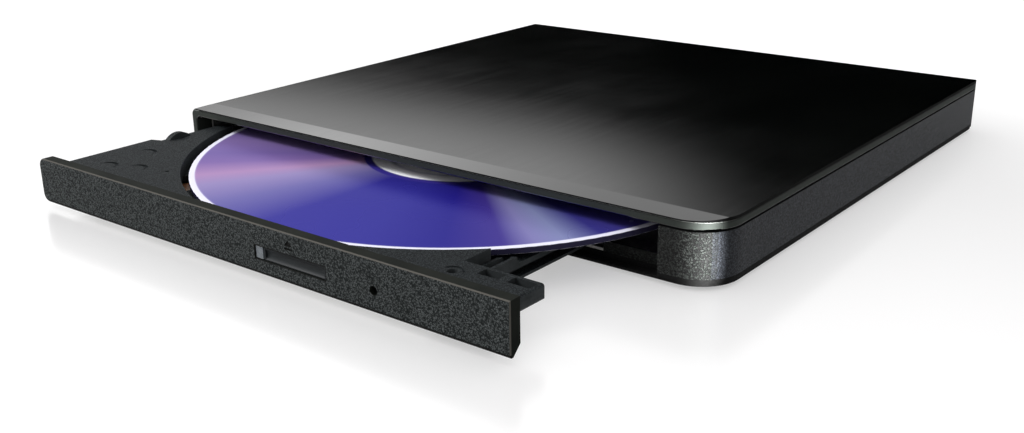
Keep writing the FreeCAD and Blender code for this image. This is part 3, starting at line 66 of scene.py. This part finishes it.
class Graph:
    """A material's nodes, with short calls for the ones used here."""

    def __init__(self, name):
        self.material = bpy.data.materials.new(name)
        self.material.use_nodes = True
        self.tree = self.material.node_tree
        self.shader = self.tree.nodes["Principled BSDF"]
        self.output = self.tree.nodes["Material Output"]
        self.place = self.add("ShaderNodeTexCoord").outputs["Object"]

    def add(self, kind, **settings):
        node = self.tree.nodes.new(kind)
        for key, value in settings.items():
            setattr(node, key, value)
        return node

    def join(self, source, target):
        self.tree.links.new(source, target)

    def feed(self, socket, value):
        """Give a socket a number, a colour or another node's output."""
        if isinstance(value, (int, float)):
            socket.default_value = value
        elif isinstance(value, tuple):
            socket.default_value = (*value, 1.0) if socket.type == "RGBA" else value
        else:
            self.join(value, socket)

    def set(self, **values):
        """Constants on the shader's own sockets; underscores in a name stand for blanks."""
        for key, value in values.items():
            self.shader.inputs[key.replace("_", " ")].default_value = value

    def math(self, kind, *values, clamp=False):
        node = self.add("ShaderNodeMath", operation=kind, use_clamp=clamp)
        for socket, value in zip(node.inputs, values):
            self.feed(socket, value)
        return node.outputs[0]

    def step(self, value, low, high):
        """0 below low, 1 above high and smooth between them."""
        node = self.add("ShaderNodeMapRange", interpolation_type="SMOOTHSTEP")
        self.feed(node.inputs["Value"], value)
        node.inputs["From Min"].default_value = low
        node.inputs["From Max"].default_value = high
        return node.outputs["Result"]

    def parts(self, vector):
        node = self.add("ShaderNodeSeparateXYZ")
        self.join(vector, node.inputs[0])
        return node.outputs[0], node.outputs[1], node.outputs[2]

    def facing(self):
        """The surface's own direction, without bump, as three numbers."""
        return self.parts(self.add("ShaderNodeNewGeometry").outputs["True Normal"])

    def noise(self, scale, detail=2.0, roughness=0.5, place=None, distortion=0.0, output="Fac"):
        node = self.add("ShaderNodeTexNoise")
        node.inputs["Scale"].default_value = scale
        node.inputs["Detail"].default_value = detail
        node.inputs["Roughness"].default_value = roughness
        node.inputs["Distortion"].default_value = distortion
        self.join(place or self.place, node.inputs["Vector"])
        return node.outputs[output]

    def cells(self, scale, feature="F1", place=None, output="Distance"):
        node = self.add("ShaderNodeTexVoronoi", feature=feature)
        node.inputs["Scale"].default_value = scale
        self.join(place or self.place, node.inputs["Vector"])
        return node.outputs[output]

    def stretch(self, scale=(1, 1, 1), location=(0, 0, 0), rotation=(0, 0, 0)):
        node = self.add("ShaderNodeMapping")
        node.inputs["Location"].default_value = location
        node.inputs["Rotation"].default_value = rotation
        node.inputs["Scale"].default_value = scale
        self.join(self.place, node.inputs["Vector"])
        return node.outputs["Vector"]

    def warped(self, scale, reach):
        """Place, pushed about by a soft noise up to the given reach."""
        shift = self.add("ShaderNodeVectorMath", operation="SUBTRACT")
        self.join(self.noise(scale, output="Color"), shift.inputs[0])
        shift.inputs[1].default_value = (0.5, 0.5, 0.5)
        push = self.add("ShaderNodeVectorMath", operation="SCALE")
        self.join(shift.outputs[0], push.inputs[0])
        push.inputs["Scale"].default_value = 2 * reach
        moved = self.add("ShaderNodeVectorMath", operation="ADD")
        self.join(self.place, moved.inputs[0])
        self.join(push.outputs[0], moved.inputs[1])
        return moved.outputs[0]

    def ramp(self, value, stops, kind="LINEAR"):
        node = self.add("ShaderNodeValToRGB")
        node.color_ramp.interpolation = kind
        points = node.color_ramp.elements
        while len(points) < len(stops):
            points.new(0.5)
        for point, (position, colour) in zip(points, stops):
            point.position = position
            point.color = (*colour, 1.0)
        self.join(value, node.inputs["Fac"])
        return node.outputs["Color"]

    def blend(self, share, first, second):
        node = self.add("ShaderNodeMix", data_type="RGBA", blend_type="MIX")
        colours = [socket for socket in node.inputs if socket.type == "RGBA"]
        self.feed(node.inputs[0], share)
        self.feed(colours[0], first)
        self.feed(colours[1], second)
        return [socket for socket in node.outputs if socket.type == "RGBA"][0]

    def bump(self, height, depth):
        node = self.add("ShaderNodeBump")
        self.feed(node.inputs["Strength"], 1.0)
        node.inputs["Distance"].default_value = depth
        self.join(height, node.inputs["Height"])
        return node.outputs["Normal"]

    def colour(self, source):
        self.join(source, self.shader.inputs["Base Color"])

    def roughness(self, source):
        self.join(source, self.shader.inputs["Roughness"])

    def normal(self, source):
        self.join(source, self.shader.inputs["Normal"])


def grey(level, warm=0.0):
    return (level * (1 + warm), level, level * (1 - warm))


# Materials

def leather_grain(g, period):
    """Height of a wrinkled mould grain: 1 on pebbles and short winding ridges, 0 in the creases."""
    place = g.warped(0.5 / period, 0.25 * period)
    pebble = g.math("SUBTRACT", 1.0, g.math("MULTIPLY", g.cells(1 / period, place=place), 1.6))
    folds = g.noise(1.3 / period, detail=1.0, roughness=0.55, place=place)
    off_middle = g.math("ABSOLUTE", g.math("SUBTRACT", folds, 0.5))
    ridge = g.math("SUBTRACT", 1.0, g.math("MULTIPLY", off_middle, 7.0))
    return g.step(g.math("MULTIPLY_ADD", ridge, 0.45, g.math("MULTIPLY", pebble, 0.65)), 0.12, 0.80)


def case_plastic(name):
    """Leather-grained shell, its front grain painted darker as painted shade: finer bluish grain on its right
    wall, a smooth dark band at its base.
    """
    g = Graph(name)
    across, along, up = g.facing()
    side = g.step(across, 0.70, 0.80)
    band = g.math("LESS_THAN", g.parts(g.place)[2], base_band_top)
    flat = g.math("GREATER_THAN", g.math("ABSOLUTE", up), 0.9)
    coarse = leather_grain(g, 0.42 * MM)
    fine = leather_grain(g, 0.36 * MM)
    # Painted shade: the front grain is kept darker than the right wall's, standing in for the shade on the
    # front.
    front_grain_with_painted_shade = g.ramp(coarse, [(0.1, (0.002, 0.002, 0.002)), (0.95, (0.028, 0.032, 0.029))])
    side_colour = g.ramp(fine, [(0.0, (0.005, 0.006, 0.008)), (1.0, (0.032, 0.036, 0.044))])
    grain = g.blend(side, front_grain_with_painted_shade, side_colour)
    smooth = g.math("MAXIMUM", band, flat)
    g.colour(g.blend(smooth, grain, (0.0015, 0.0015, 0.0015)))
    rough_top = g.math("MULTIPLY_ADD", coarse, -0.16, 0.58)
    g.roughness(g.math("ADD", rough_top, g.math("MULTIPLY", smooth, 0.30)))
    height = g.math("ADD", g.math("MULTIPLY", coarse, g.math("SUBTRACT", 1.0, side)),
                    g.math("MULTIPLY", g.math("MULTIPLY", fine, side), 0.35))
    g.normal(g.bump(g.math("MULTIPLY", height, g.math("SUBTRACT", 1.0, smooth)), 0.20 * MM))
    g.set(Specular_IOR_Level=0.15)
    return g.material


def bezel_plastic(name):
    """Front panel: grained face, slanted edges with a painted highlight, and painted shade: dark lines round
    the button and along its foot, and on set-back parts of the face.
    """
    g = Graph(name)
    across, along, up = g.facing()
    face = g.step(g.math("MULTIPLY", along, -1.0), 0.90, 0.98)
    painted_edge_highlight = g.math("GREATER_THAN", g.math("MULTIPLY", g.math("MULTIPLY", along, -1.0),
                                            g.math("MAXIMUM", up, across)), 0.3)
    grain = leather_grain(g, 0.34 * MM)
    patch = g.noise(160, detail=3.0)
    face_colour = g.ramp(grain, [(0.0, (0.009, 0.011, 0.011)), (1.0, (0.094, 0.104, 0.105))])
    side_colour = g.ramp(patch, [(0.3, (0.004, 0.005, 0.004)), (0.7, (0.009, 0.010, 0.008))])
    colour = g.blend(face, side_colour, face_colour)
    x, y, z = g.parts(g.place)
    inside = g.math("GREATER_THAN", y, bezel_low.y + recess_shade_start)
    beside = g.math("MAXIMUM", g.math("SUBTRACT", slot_left, x), g.math("SUBTRACT", x, slot_right))
    over = g.math("MAXIMUM", g.math("SUBTRACT", slot_base, z), g.math("SUBTRACT", z, slot_top))
    painted_slot_shade = g.math("LESS_THAN", g.math("MAXIMUM", beside, over), slot_shade_width)
    low = g.math("LESS_THAN", z, bezel_low.z + foot_shade_height)
    foot = g.math("MULTIPLY", low, g.math("LESS_THAN", along, -0.1))
    # Painted shade: set-back front faces, the line round the button's opening and the line along the foot are
    # painted near black.
    painted_shade = g.math("MAXIMUM", g.math("MULTIPLY", g.math("MAXIMUM", inside, painted_slot_shade), face), foot)
    # Painted highlight: the slanted edges get a lighter warm grey.
    g.colour(g.blend(painted_shade, g.blend(painted_edge_highlight, colour, (0.078, 0.074, 0.066)), (0.003, 0.003, 0.003)))
    g.roughness(g.blend(face, (0.75, 0.75, 0.75), g.ramp(grain, [(0.0, grey(0.60)), (1.0, grey(0.42))])))
    g.normal(g.bump(g.math("MULTIPLY", grain, face), 0.12 * MM))
    g.set(Specular_IOR_Level=0.06)
    return g.material


def tray_plastic(name):
    """Fine spark-eroded finish of the tray, with smooth walls painted lighter than the top as painted light.
    """
    g = Graph(name)
    grain = leather_grain(g, 0.34 * MM)
    dust = g.noise(300, detail=4.0, roughness=0.7)
    up = g.facing()[2]
    top = g.step(up, 0.6, 0.95)
    base = g.ramp(grain, [(0.0, (0.004, 0.005, 0.006)), (1.0, (0.021, 0.026, 0.028))])
    # Painted light: the walls are painted lighter than the top, standing in for the light they catch; the
    # dust mottle on them is random tone.
    walls_with_painted_light = g.ramp(dust, [(0.3, (0.022, 0.025, 0.026)), (0.7, (0.036, 0.040, 0.042))])
    g.colour(g.blend(top, walls_with_painted_light, base))
    g.roughness(g.ramp(grain, [(0.0, grey(0.62)), (1.0, grey(0.46))]))
    g.normal(g.bump(g.math("MULTIPLY", grain, top), 0.06 * MM))
    g.set(Specular_IOR_Level=0.06)
    return g.material


def gloss_black(name):
    """Mirror-smooth black plastic with faint haze and hairlines; its rim is matt, with a painted groove shade
    and a painted highlight on the lip.
    """
    g = Graph(name)
    haze = g.noise(35, detail=4.0, roughness=0.6)
    hairs = g.noise(900, detail=1.0, place=g.stretch(scale=(1, 0.04, 1), rotation=(0, 0, 0.6)))
    marks = g.math("ADD", g.math("MULTIPLY", haze, 0.6), g.math("MULTIPLY", hairs, 0.4))
    skirt = g.math("LESS_THAN", g.math("ABSOLUTE", g.facing()[2]), 0.3)
    top = g.ramp(haze, [(0.3, (0.0003, 0.0005, 0.0004)), (0.75, (0.0006, 0.0009, 0.0008))])
    below = g.math("SUBTRACT", cover_edge, g.parts(g.place)[2])
    # Painted shade and painted highlight: a near-black line stands for the shaded groove, and a light line
    # below it stands for the lit lip.
    painted_groove_shade = g.math("LESS_THAN", below, groove_shade_depth)
    painted_lip_highlight = g.math("LESS_THAN", below, lip_highlight_depth)
    rim = g.blend(painted_groove_shade, g.blend(painted_lip_highlight, (0.030, 0.035, 0.031), (0.20, 0.21, 0.20)), (0.0003, 0.0003, 0.0003))
    g.colour(g.blend(skirt, top, rim))
    g.roughness(g.blend(skirt, g.ramp(marks, [(0.35, grey(0.07)), (0.7, grey(0.11))]),
                        g.blend(painted_groove_shade, grey(0.75), grey(0.95))))
    g.join(g.math("MULTIPLY", skirt, 0.85), g.shader.inputs["Metallic"])
    g.set(Specular_IOR_Level=0.78)
    return g.material


def smooth_plastic(name, dark, light, rough=0.35, gloss=0.5):
    """Plain moulded plastic with faint flow marks."""
    g = Graph(name)
    flow = g.noise(120, detail=4.0, place=g.stretch(scale=(1, 0.3, 1)))
    fine = g.noise(2500, detail=2.0)
    g.colour(g.ramp(flow, [(0.3, dark), (0.7, light)]))
    g.roughness(g.ramp(flow, [(0.3, grey(rough)), (0.7, grey(rough + 0.12))]))
    g.normal(g.bump(fine, 0.002 * MM))
    g.set(Specular_IOR_Level=gloss)
    return g.material


def rubber(name):
    """Dusty black rubber with fine pores."""
    g = Graph(name)
    dust = g.noise(400, detail=4.0, roughness=0.7)
    pores = g.noise(3200, detail=2.0)
    g.colour(g.ramp(dust, [(0.35, grey(0.016)), (0.7, grey(0.032))]))
    g.roughness(g.ramp(dust, [(0.3, grey(0.75)), (0.7, grey(0.9))]))
    g.normal(g.bump(pores, 0.02 * MM))
    g.set(Specular_IOR_Level=0.3)
    return g.material


def steel(name, tone, rough, grain_scale=2600, along=(1, 0.03, 1), tint=(1.0, 1.0, 1.0)):
    """Sheet or bar steel with drawn lines."""
    g = Graph(name)
    lines = g.noise(grain_scale, detail=3.0, place=g.stretch(scale=along))
    spots = g.noise(160, detail=5.0, roughness=0.65)
    share = g.math("ADD", g.math("MULTIPLY", lines, 0.6), g.math("MULTIPLY", spots, 0.4))
    low = tuple(tone * 0.82 * t for t in tint)
    high = tuple(min(1.0, tone * 1.1) * t for t in tint)
    g.colour(g.ramp(share, [(0.3, low), (0.7, high)]))
    g.roughness(g.ramp(share, [(0.3, grey(rough)), (0.7, grey(rough + 0.16))]))
    g.normal(g.bump(lines, 0.004 * MM))
    g.set(Metallic=1.0)
    return g.material


def cast_alloy(name):
    """Sand-grey die-cast alloy."""
    g = Graph(name)
    grain = g.noise(1800, detail=4.0, roughness=0.7)
    stain = g.noise(140, detail=4.0)
    g.colour(g.ramp(stain, [(0.3, (0.26, 0.26, 0.28)), (0.7, (0.40, 0.40, 0.42))]))
    g.roughness(g.ramp(grain, [(0.3, grey(0.4)), (0.7, grey(0.6))]))
    g.normal(g.bump(grain, 0.02 * MM))
    g.set(Metallic=0.9)
    return g.material


def circuit_board(name):
    """Green solder mask over copper tracks and rows of pads."""
    g = Graph(name)
    tracks = g.add("ShaderNodeTexBrick", offset=0.35, squash=0.7, squash_frequency=3)
    tracks.inputs["Scale"].default_value = 420
    tracks.inputs["Mortar Size"].default_value = 0.055
    tracks.inputs["Mortar Smooth"].default_value = 0.4
    tracks.inputs["Brick Width"].default_value = 1.7
    tracks.inputs["Row Height"].default_value = 0.42
    g.join(g.stretch(rotation=(0, 0, math.pi / 4)), tracks.inputs["Vector"])
    pads = g.cells(640, place=g.stretch(scale=(1, 1, 0.01)))
    pad = g.math("LESS_THAN", pads, 0.16)
    mask = g.blend(tracks.outputs["Fac"], (0.008, 0.075, 0.030), (0.018, 0.15, 0.062))
    g.colour(g.blend(pad, mask, (0.62, 0.60, 0.52)))
    g.normal(g.bump(tracks.outputs["Fac"], 0.02 * MM))
    g.join(g.math("MULTIPLY", pad, 0.9), g.shader.inputs["Metallic"])
    g.set(Roughness=0.28)
    return g.material


def flat_cable(name):
    """Amber film over copper conductors."""
    g = Graph(name)
    wave = g.add("ShaderNodeTexWave", wave_type="BANDS", bands_direction="X", wave_profile="SIN")
    wave.inputs["Scale"].default_value = 480
    g.join(g.place, wave.inputs["Vector"])
    stain = g.noise(300, detail=3.0)
    copper = g.ramp(wave.outputs["Fac"], [(0.35, (0.16, 0.055, 0.018)), (0.6, (0.42, 0.17, 0.055))])
    g.colour(g.blend(g.math("MULTIPLY", stain, 0.35), copper, (0.20, 0.08, 0.03)))
    g.normal(g.bump(wave.outputs["Fac"], 0.01 * MM))
    g.set(Roughness=0.3, Coat_Weight=0.6, Coat_Roughness=0.12)
    return g.material


def clear_plastic(name, tint, rough=0.12, clear=0.35):
    """Partly clear plastic or glass of the given tint."""
    g = Graph(name)
    cloud = g.noise(500, detail=2.0)
    low = tuple(t * 0.85 for t in tint)
    g.colour(g.ramp(cloud, [(0.3, low), (0.7, tint)]))
    g.roughness(g.ramp(cloud, [(0.3, grey(rough)), (0.7, grey(rough + 0.1))]))
    g.set(Transmission_Weight=clear, IOR=1.5)
    return g.material


def polar(g):
    """Distance from the disc's centre as a share of its radius, and angle as a share of a half turn."""
    x, y, _ = g.parts(g.stretch(location=(-disc_centre.x, -disc_centre.y, 0)))
    radius = g.math("SQRT", g.math("ADD", g.math("MULTIPLY", x, x), g.math("MULTIPLY", y, y)))
    turn = g.math("DIVIDE", g.math("ARCTAN2", y, x), math.pi)
    return g.math("DIVIDE", radius, disc_edge), g.math("FRACT", g.math("ADD", turn, 2.0))


# Colours of the recording layer round half a turn: the violet dye with a painted sheen, light and dark
# diffraction streaks fixed by angle; the other half repeats them, as on a real disc.
DYE_AND_PAINTED_SHEEN = [
    (0.00, (0.087, 0.065, 0.289)),
    (0.06, (0.144, 0.101, 0.325)),
    (0.14, (0.202, 0.137, 0.347)),
    (0.20, (0.152, 0.101, 0.303)),
    (0.24, (0.188, 0.116, 0.325)),
    (0.29, (0.361, 0.217, 0.405)),
    (0.33, (0.260, 0.209, 0.412)),
    (0.40, (0.130, 0.116, 0.325)),
    (0.49, (0.026, 0.022, 0.239)),
    (0.61, (0.024, 0.021, 0.239)),
    (0.70, (0.016, 0.012, 0.209)),
    (0.76, (0.044, 0.028, 0.224)),
    (0.79, (0.195, 0.181, 0.397)),
    (0.82, (0.209, 0.231, 0.433)),
    (0.86, (0.039, 0.034, 0.231)),
    (1.00, (0.087, 0.065, 0.289)),
]


def recorded_disc(name):
    """Violet recording layer with soft radial streaks of painted sheen, a pale rim and a clear middle."""
    g = Graph(name)
    radius, share = polar(g)
    dye_and_painted_sheen = g.ramp(share, DYE_AND_PAINTED_SHEEN)
    rings = g.ramp(radius, [
        (0.0, (0, 0, 0)), (0.375, (0, 0, 0)), (0.381, (1, 1, 1)),
        (0.976, (1, 1, 1)), (0.980, (0, 0, 0)), (1.0, (0, 0, 0)),
    ])
    clear = g.ramp(radius, [
        (0.0, (0.90, 0.90, 0.92)), (0.27, (0.92, 0.92, 0.94)), (0.285, (0.55, 0.55, 0.64)),
        (0.30, (0.92, 0.92, 0.94)), (0.345, (0.88, 0.88, 0.92)), (0.352, (0.030, 0.022, 0.19)),
        (0.377, (0.030, 0.022, 0.19)), (0.96, (0.58, 0.56, 0.72)), (1.0, (0.70, 0.70, 0.80)),
    ])
    edge = g.math("LESS_THAN", g.math("ABSOLUTE", g.facing()[2]), 0.5)
    g.colour(g.blend(edge, g.blend(rings, clear, dye_and_painted_sheen), (0.025, 0.023, 0.05)))
    haze = g.noise(45, detail=2.0)
    g.roughness(g.ramp(haze, [(0.3, grey(0.24)), (0.7, grey(0.28))]))
    g.join(g.math("MULTIPLY", rings, 0.3), g.shader.inputs["Metallic"])
    g.set(Specular_IOR_Level=0.03)
    g.shader.inputs["Specular Tint"].default_value = (0.50, 0.50, 0.74, 1.0)
    return g.material


MATERIALS = {
    "gloss_cover": gloss_black("cover_gloss"),
    "textured_case": case_plastic("case_grain"),
    "textured_bezel": bezel_plastic("bezel_grain"),
    "tray_plastic": tray_plastic("tray_grain"),
    "button_plastic": smooth_plastic("button_satin", (0.010, 0.012, 0.013), (0.016, 0.019, 0.021),
                                     rough=0.45, gloss=0.12),
    "rubber": rubber("foot_rubber"),
    "guide_plastic": smooth_plastic("guide_black", grey(0.008), grey(0.014), 0.35),
    "connector_black": smooth_plastic("connector_black", grey(0.012), grey(0.025), 0.4),
    "chip_black": smooth_plastic("chip_epoxy", grey(0.014), grey(0.024), 0.5),
    "hub_plastic": smooth_plastic("hub_grey", grey(0.05), grey(0.09), 0.35),
    "circuit_board": circuit_board("solder_mask"),
    "flat_cable": flat_cable("amber_film"),
    "sheet_steel": steel("zinc_sheet", 0.55, 0.30, tint=(1.0, 1.0, 0.97)),
    "rail_steel": steel("rail_steel", 0.30, 0.25, along=(1, 0.02, 1)),
    "rod_steel": steel("ground_rod", 0.62, 0.12, grain_scale=3500),
    "steel_screw": steel("dark_screw", 0.16, 0.35, along=(1, 1, 1)),
    "socket_steel": steel("socket_nickel", 0.62, 0.22),
    "motor_steel": steel("motor_can", 0.45, 0.28),
    "deck_steel": steel("deck_black_zinc", 0.20, 0.36),
    "deck_alloy": cast_alloy("sled_alloy"),
    "disc_face": recorded_disc("disc_face"),
    "lens_grey": clear_plastic("indicator_lens", (0.13, 0.15, 0.17), 0.2, clear=0.1),
    "led_clear": clear_plastic("led_clear", (0.75, 0.80, 0.85)),
    "lens_glass": clear_plastic("objective_glass", (0.35, 0.42, 0.72), 0.03),
}

slot_of = {part["node"]: part["material_slot"] for part in frame["record"]["subparts"]}
for node_name, node_object in frame["nodes"].items():
    slot_name = slot_of[node_name]
    node_object.data.materials.clear()
    node_object.data.materials.append(MATERIALS[slot_name])


# Camera

camera_place = Vector((0.16154, -0.21729, 0.08277))
camera_azimuth = math.radians(38.458)
camera_elevation = math.radians(19.548)
camera_roll = math.radians(-0.798)
image_width = 1024
focal_pixels = 1177.2
sensor_width = 36.0

forward = Vector((
    -math.sin(camera_azimuth) * math.cos(camera_elevation),
    math.cos(camera_azimuth) * math.cos(camera_elevation),
    -math.sin(camera_elevation),
))
level_right = Vector((math.cos(camera_azimuth), math.sin(camera_azimuth), 0))
level_up = level_right.cross(forward)
turned_right = level_right * math.cos(camera_roll) + level_up * math.sin(camera_roll)
turned_up = level_up * math.cos(camera_roll) - level_right * math.sin(camera_roll)
camera_data = bpy.data.cameras.new("camera")
camera_data.sensor_width = sensor_width
camera_data.lens = focal_pixels / image_width * sensor_width
camera_data.clip_start = 0.01
camera = bpy.data.objects.new("camera", camera_data)
rotation = Matrix((turned_right, turned_up, -forward)).transposed().to_4x4()
camera.matrix_world = Matrix.Translation(camera_place) @ rotation
bpy.context.scene.collection.objects.link(camera)
bpy.context.scene.camera = camera


# Floor, reflection hood, world and lamps

def place_mesh(name, points, faces):
    mesh = bpy.data.meshes.new(name)
    mesh.from_pydata(points, [], faces)
    made = bpy.data.objects.new(name, mesh)
    bpy.context.scene.collection.objects.link(made)
    return made


floor_reach = 4.0
floor = place_mesh("floor", [(-floor_reach, -floor_reach, 0), (floor_reach, -floor_reach, 0),
                             (floor_reach, floor_reach, 0), (-floor_reach, floor_reach, 0)], [(0, 1, 2, 3)])


def pale_rays(tree):
    """1 for rays from the camera and from shiny or clear surfaces, which see the set as white, and else 0."""
    rays = tree.nodes.new("ShaderNodeLightPath")
    total = rays.outputs["Is Camera Ray"]
    for kind in ("Is Glossy Ray", "Is Transmission Ray"):
        larger = tree.nodes.new("ShaderNodeMath")
        larger.operation = "MAXIMUM"
        tree.links.new(total, larger.inputs[0])
        tree.links.new(rays.outputs[kind], larger.inputs[1])
        total = larger.outputs[0]
    return total


def mix_shaders(g, share, first, second):
    node = g.add("ShaderNodeMixShader")
    g.join(share, node.inputs[0])
    g.join(first, node.inputs[1])
    g.join(second, node.inputs[2])
    return node.outputs[0]


# The floor is polished round the object and matt further off, and a little light of its own keeps it white.
matt_paint = (0.94, 0.94, 0.94, 1)
polished_paint = (0.72, 0.712, 0.716, 1)
floor_glow = 0.44
polish_centre = (0.03, -0.09, 0)
polish_reach = (0.14, 0.26)
f = Graph("floor_paint")
f.shader.inputs["Base Color"].default_value = polished_paint
f.set(Roughness=0.21, Specular_IOR_Level=1.0)
matt = f.add("ShaderNodeBsdfDiffuse")
matt.inputs["Color"].default_value = matt_paint
offset = f.add("ShaderNodeVectorMath", operation="DISTANCE")
f.join(f.place, offset.inputs[0])
offset.inputs[1].default_value = polish_centre
far_off = f.step(offset.outputs["Value"], *polish_reach)
paint = mix_shaders(f, far_off, f.shader.outputs[0], matt.outputs[0])
glow = f.add("ShaderNodeEmission")
f.join(f.math("MULTIPLY", pale_rays(f.tree), floor_glow), glow.inputs["Strength"])
both = f.add("ShaderNodeAddShader")
f.join(paint, both.inputs[0])
f.join(glow.outputs[0], both.inputs[1])
f.join(both.outputs[0], f.output.inputs["Surface"])
floor.data.materials.append(f.material)

# A large hood round the set, seen in glossy surfaces alone: dark low down at the back, lower to the
# left than to the right, as a studio's flags are. Angles are in degrees, azimuth from +Y towards -X.
hood_radius = 6.0
hood_rings = 24
hood_turns = 48
hood_lean = 0.20
hood_edge = (21.0, 25.9)
hood_right_edge = (24.0, 37.0)
hood_right_top = (19.5, 23.0)
hood_middle = math.radians(10)
# A strip light on the hood brightens the slope at the front of the cover.
strip_base = (19.0, 22.0)
strip_side = (33.0, 56.0)
strip_power = 1.1


def hood_point(ring, turn):
    tilt = math.pi / 2 * ring / hood_rings
    angle = 2 * math.pi * turn / hood_turns
    return (hood_radius * math.cos(angle) * math.cos(tilt), hood_radius * math.sin(angle) * math.cos(tilt),
            hood_radius * math.sin(tilt))


hood_points = [hood_point(ring, turn) for ring in range(hood_rings) for turn in range(hood_turns)]
hood_points.append((0, 0, hood_radius))
hood_faces = []
for ring in range(hood_rings - 1):
    for turn in range(hood_turns):
        after = (turn + 1) % hood_turns
        hood_faces.append((ring * hood_turns + turn, ring * hood_turns + after,
                           (ring + 1) * hood_turns + after, (ring + 1) * hood_turns + turn))
for turn in range(hood_turns):
    last = (hood_rings - 1) * hood_turns
    hood_faces.append((last + turn, last + (turn + 1) % hood_turns, hood_rings * hood_turns))
hood = place_mesh("reflection_hood", hood_points, hood_faces)
hood.visible_camera = False
hood.visible_diffuse = False
hood.visible_transmission = False
hood.visible_shadow = False
hood.visible_volume_scatter = False

h = Graph("hood_cloth")
h.tree.nodes.remove(h.shader)
unit = h.add("ShaderNodeVectorMath", operation="NORMALIZE")
h.join(h.place, unit.inputs[0])


def towards(direction):
    node = h.add("ShaderNodeVectorMath", operation="DOT_PRODUCT")
    h.join(unit.outputs[0], node.inputs[0])
    node.inputs[1].default_value = direction
    return node.outputs["Value"]


unit_x, unit_y, unit_z = h.parts(unit.outputs[0])
azimuth = h.math("DEGREES", h.math("ARCTAN2", h.math("MULTIPLY", unit_x, -1.0), unit_y))
elevation = h.math("DEGREES", h.math("ARCSINE", unit_z))
above = h.step(h.math("MULTIPLY_ADD", azimuth, hood_lean, elevation), *hood_edge)
left = h.math("MAXIMUM", h.step(azimuth, *hood_right_edge), h.step(elevation, *hood_right_top))
behind = h.step(towards((math.sin(hood_middle), math.cos(hood_middle), 0)), 0.0, 0.4)
cover = h.math("MULTIPLY", behind, h.math("SUBTRACT", 1.0, h.math("MULTIPLY", above, left)))
cloth = h.add("ShaderNodeBsdfDiffuse")
cloth.inputs["Color"].default_value = (0, 0, 0, 1)
gap = h.add("ShaderNodeBsdfTransparent")
strip = h.math("MULTIPLY", h.step(elevation, *strip_base), h.step(azimuth, *strip_side))
strip_light = h.add("ShaderNodeEmission")
h.join(h.math("MULTIPLY", strip, strip_power), strip_light.inputs["Strength"])
hung = h.add("ShaderNodeAddShader")
h.join(mix_shaders(h, cover, gap.outputs[0], cloth.outputs[0]), hung.inputs[0])
h.join(strip_light.outputs[0], hung.inputs[1])
h.join(hung.outputs[0], h.output.inputs["Surface"])
hood.data.materials.append(h.material)

world = bpy.data.worlds.new("studio")
world.use_nodes = True
bpy.context.scene.world = world
world_tree = world.node_tree
background = world_tree.nodes["Background"]
background.inputs["Color"].default_value = (1, 1, 1, 1)
level = world_tree.nodes.new("ShaderNodeMapRange")
level.inputs["To Min"].default_value = 0.75
level.inputs["To Max"].default_value = 1.0
world_tree.links.new(pale_rays(world_tree), level.inputs["Value"])
world_tree.links.new(level.outputs["Result"], background.inputs["Strength"])


def area_lamp(name, place, target, width, height, power):
    data = bpy.data.lights.new(name, "AREA")
    data.shape = "RECTANGLE"
    data.size = width
    data.size_y = height
    data.energy = power
    lamp = bpy.data.objects.new(name, data)
    lamp.location = place
    aim = Vector(target) - Vector(place)
    lamp.rotation_mode = "QUATERNION"
    lamp.rotation_quaternion = aim.to_track_quat("-Z", "Y")
    bpy.context.scene.collection.objects.link(lamp)
    return lamp


# The lamps light the object alone, so that the floor keeps only the soft shadow of the pale room.
object_only = bpy.data.collections.new("object_only")
object_only.objects.link(floor)
object_only.collection_objects[0].light_linking.link_state = "EXCLUDE"
key = area_lamp("key", (-1.81, -0.96, 1.91), (0, 0, 0), 0.8, 1.5, 80.0)
key.light_linking.receiver_collection = object_only

# A narrow, low beam from the right draws the light band down the rounded corner.
beam_data = bpy.data.lights.new("corner_beam", "SPOT")
beam_data.energy = 190.0
beam_data.spot_size = math.radians(2.8)
beam_data.spot_blend = 1.0
beam_data.shadow_soft_size = 0.002
beam = bpy.data.objects.new("corner_beam", beam_data)
beam.location = (0.501, -0.295, 0.014)
beam.scale = (0.25, 1.0, 1.0)
beam.rotation_mode = "QUATERNION"
beam.rotation_quaternion = (Vector((0.0674, -0.0453, 0.0070)) - beam.location).to_track_quat("-Z", "Y")
beam.light_linking.receiver_collection = object_only
bpy.context.scene.collection.objects.link(beam)

view_settings = bpy.context.scene.view_settings
view_settings.view_transform = "Standard"
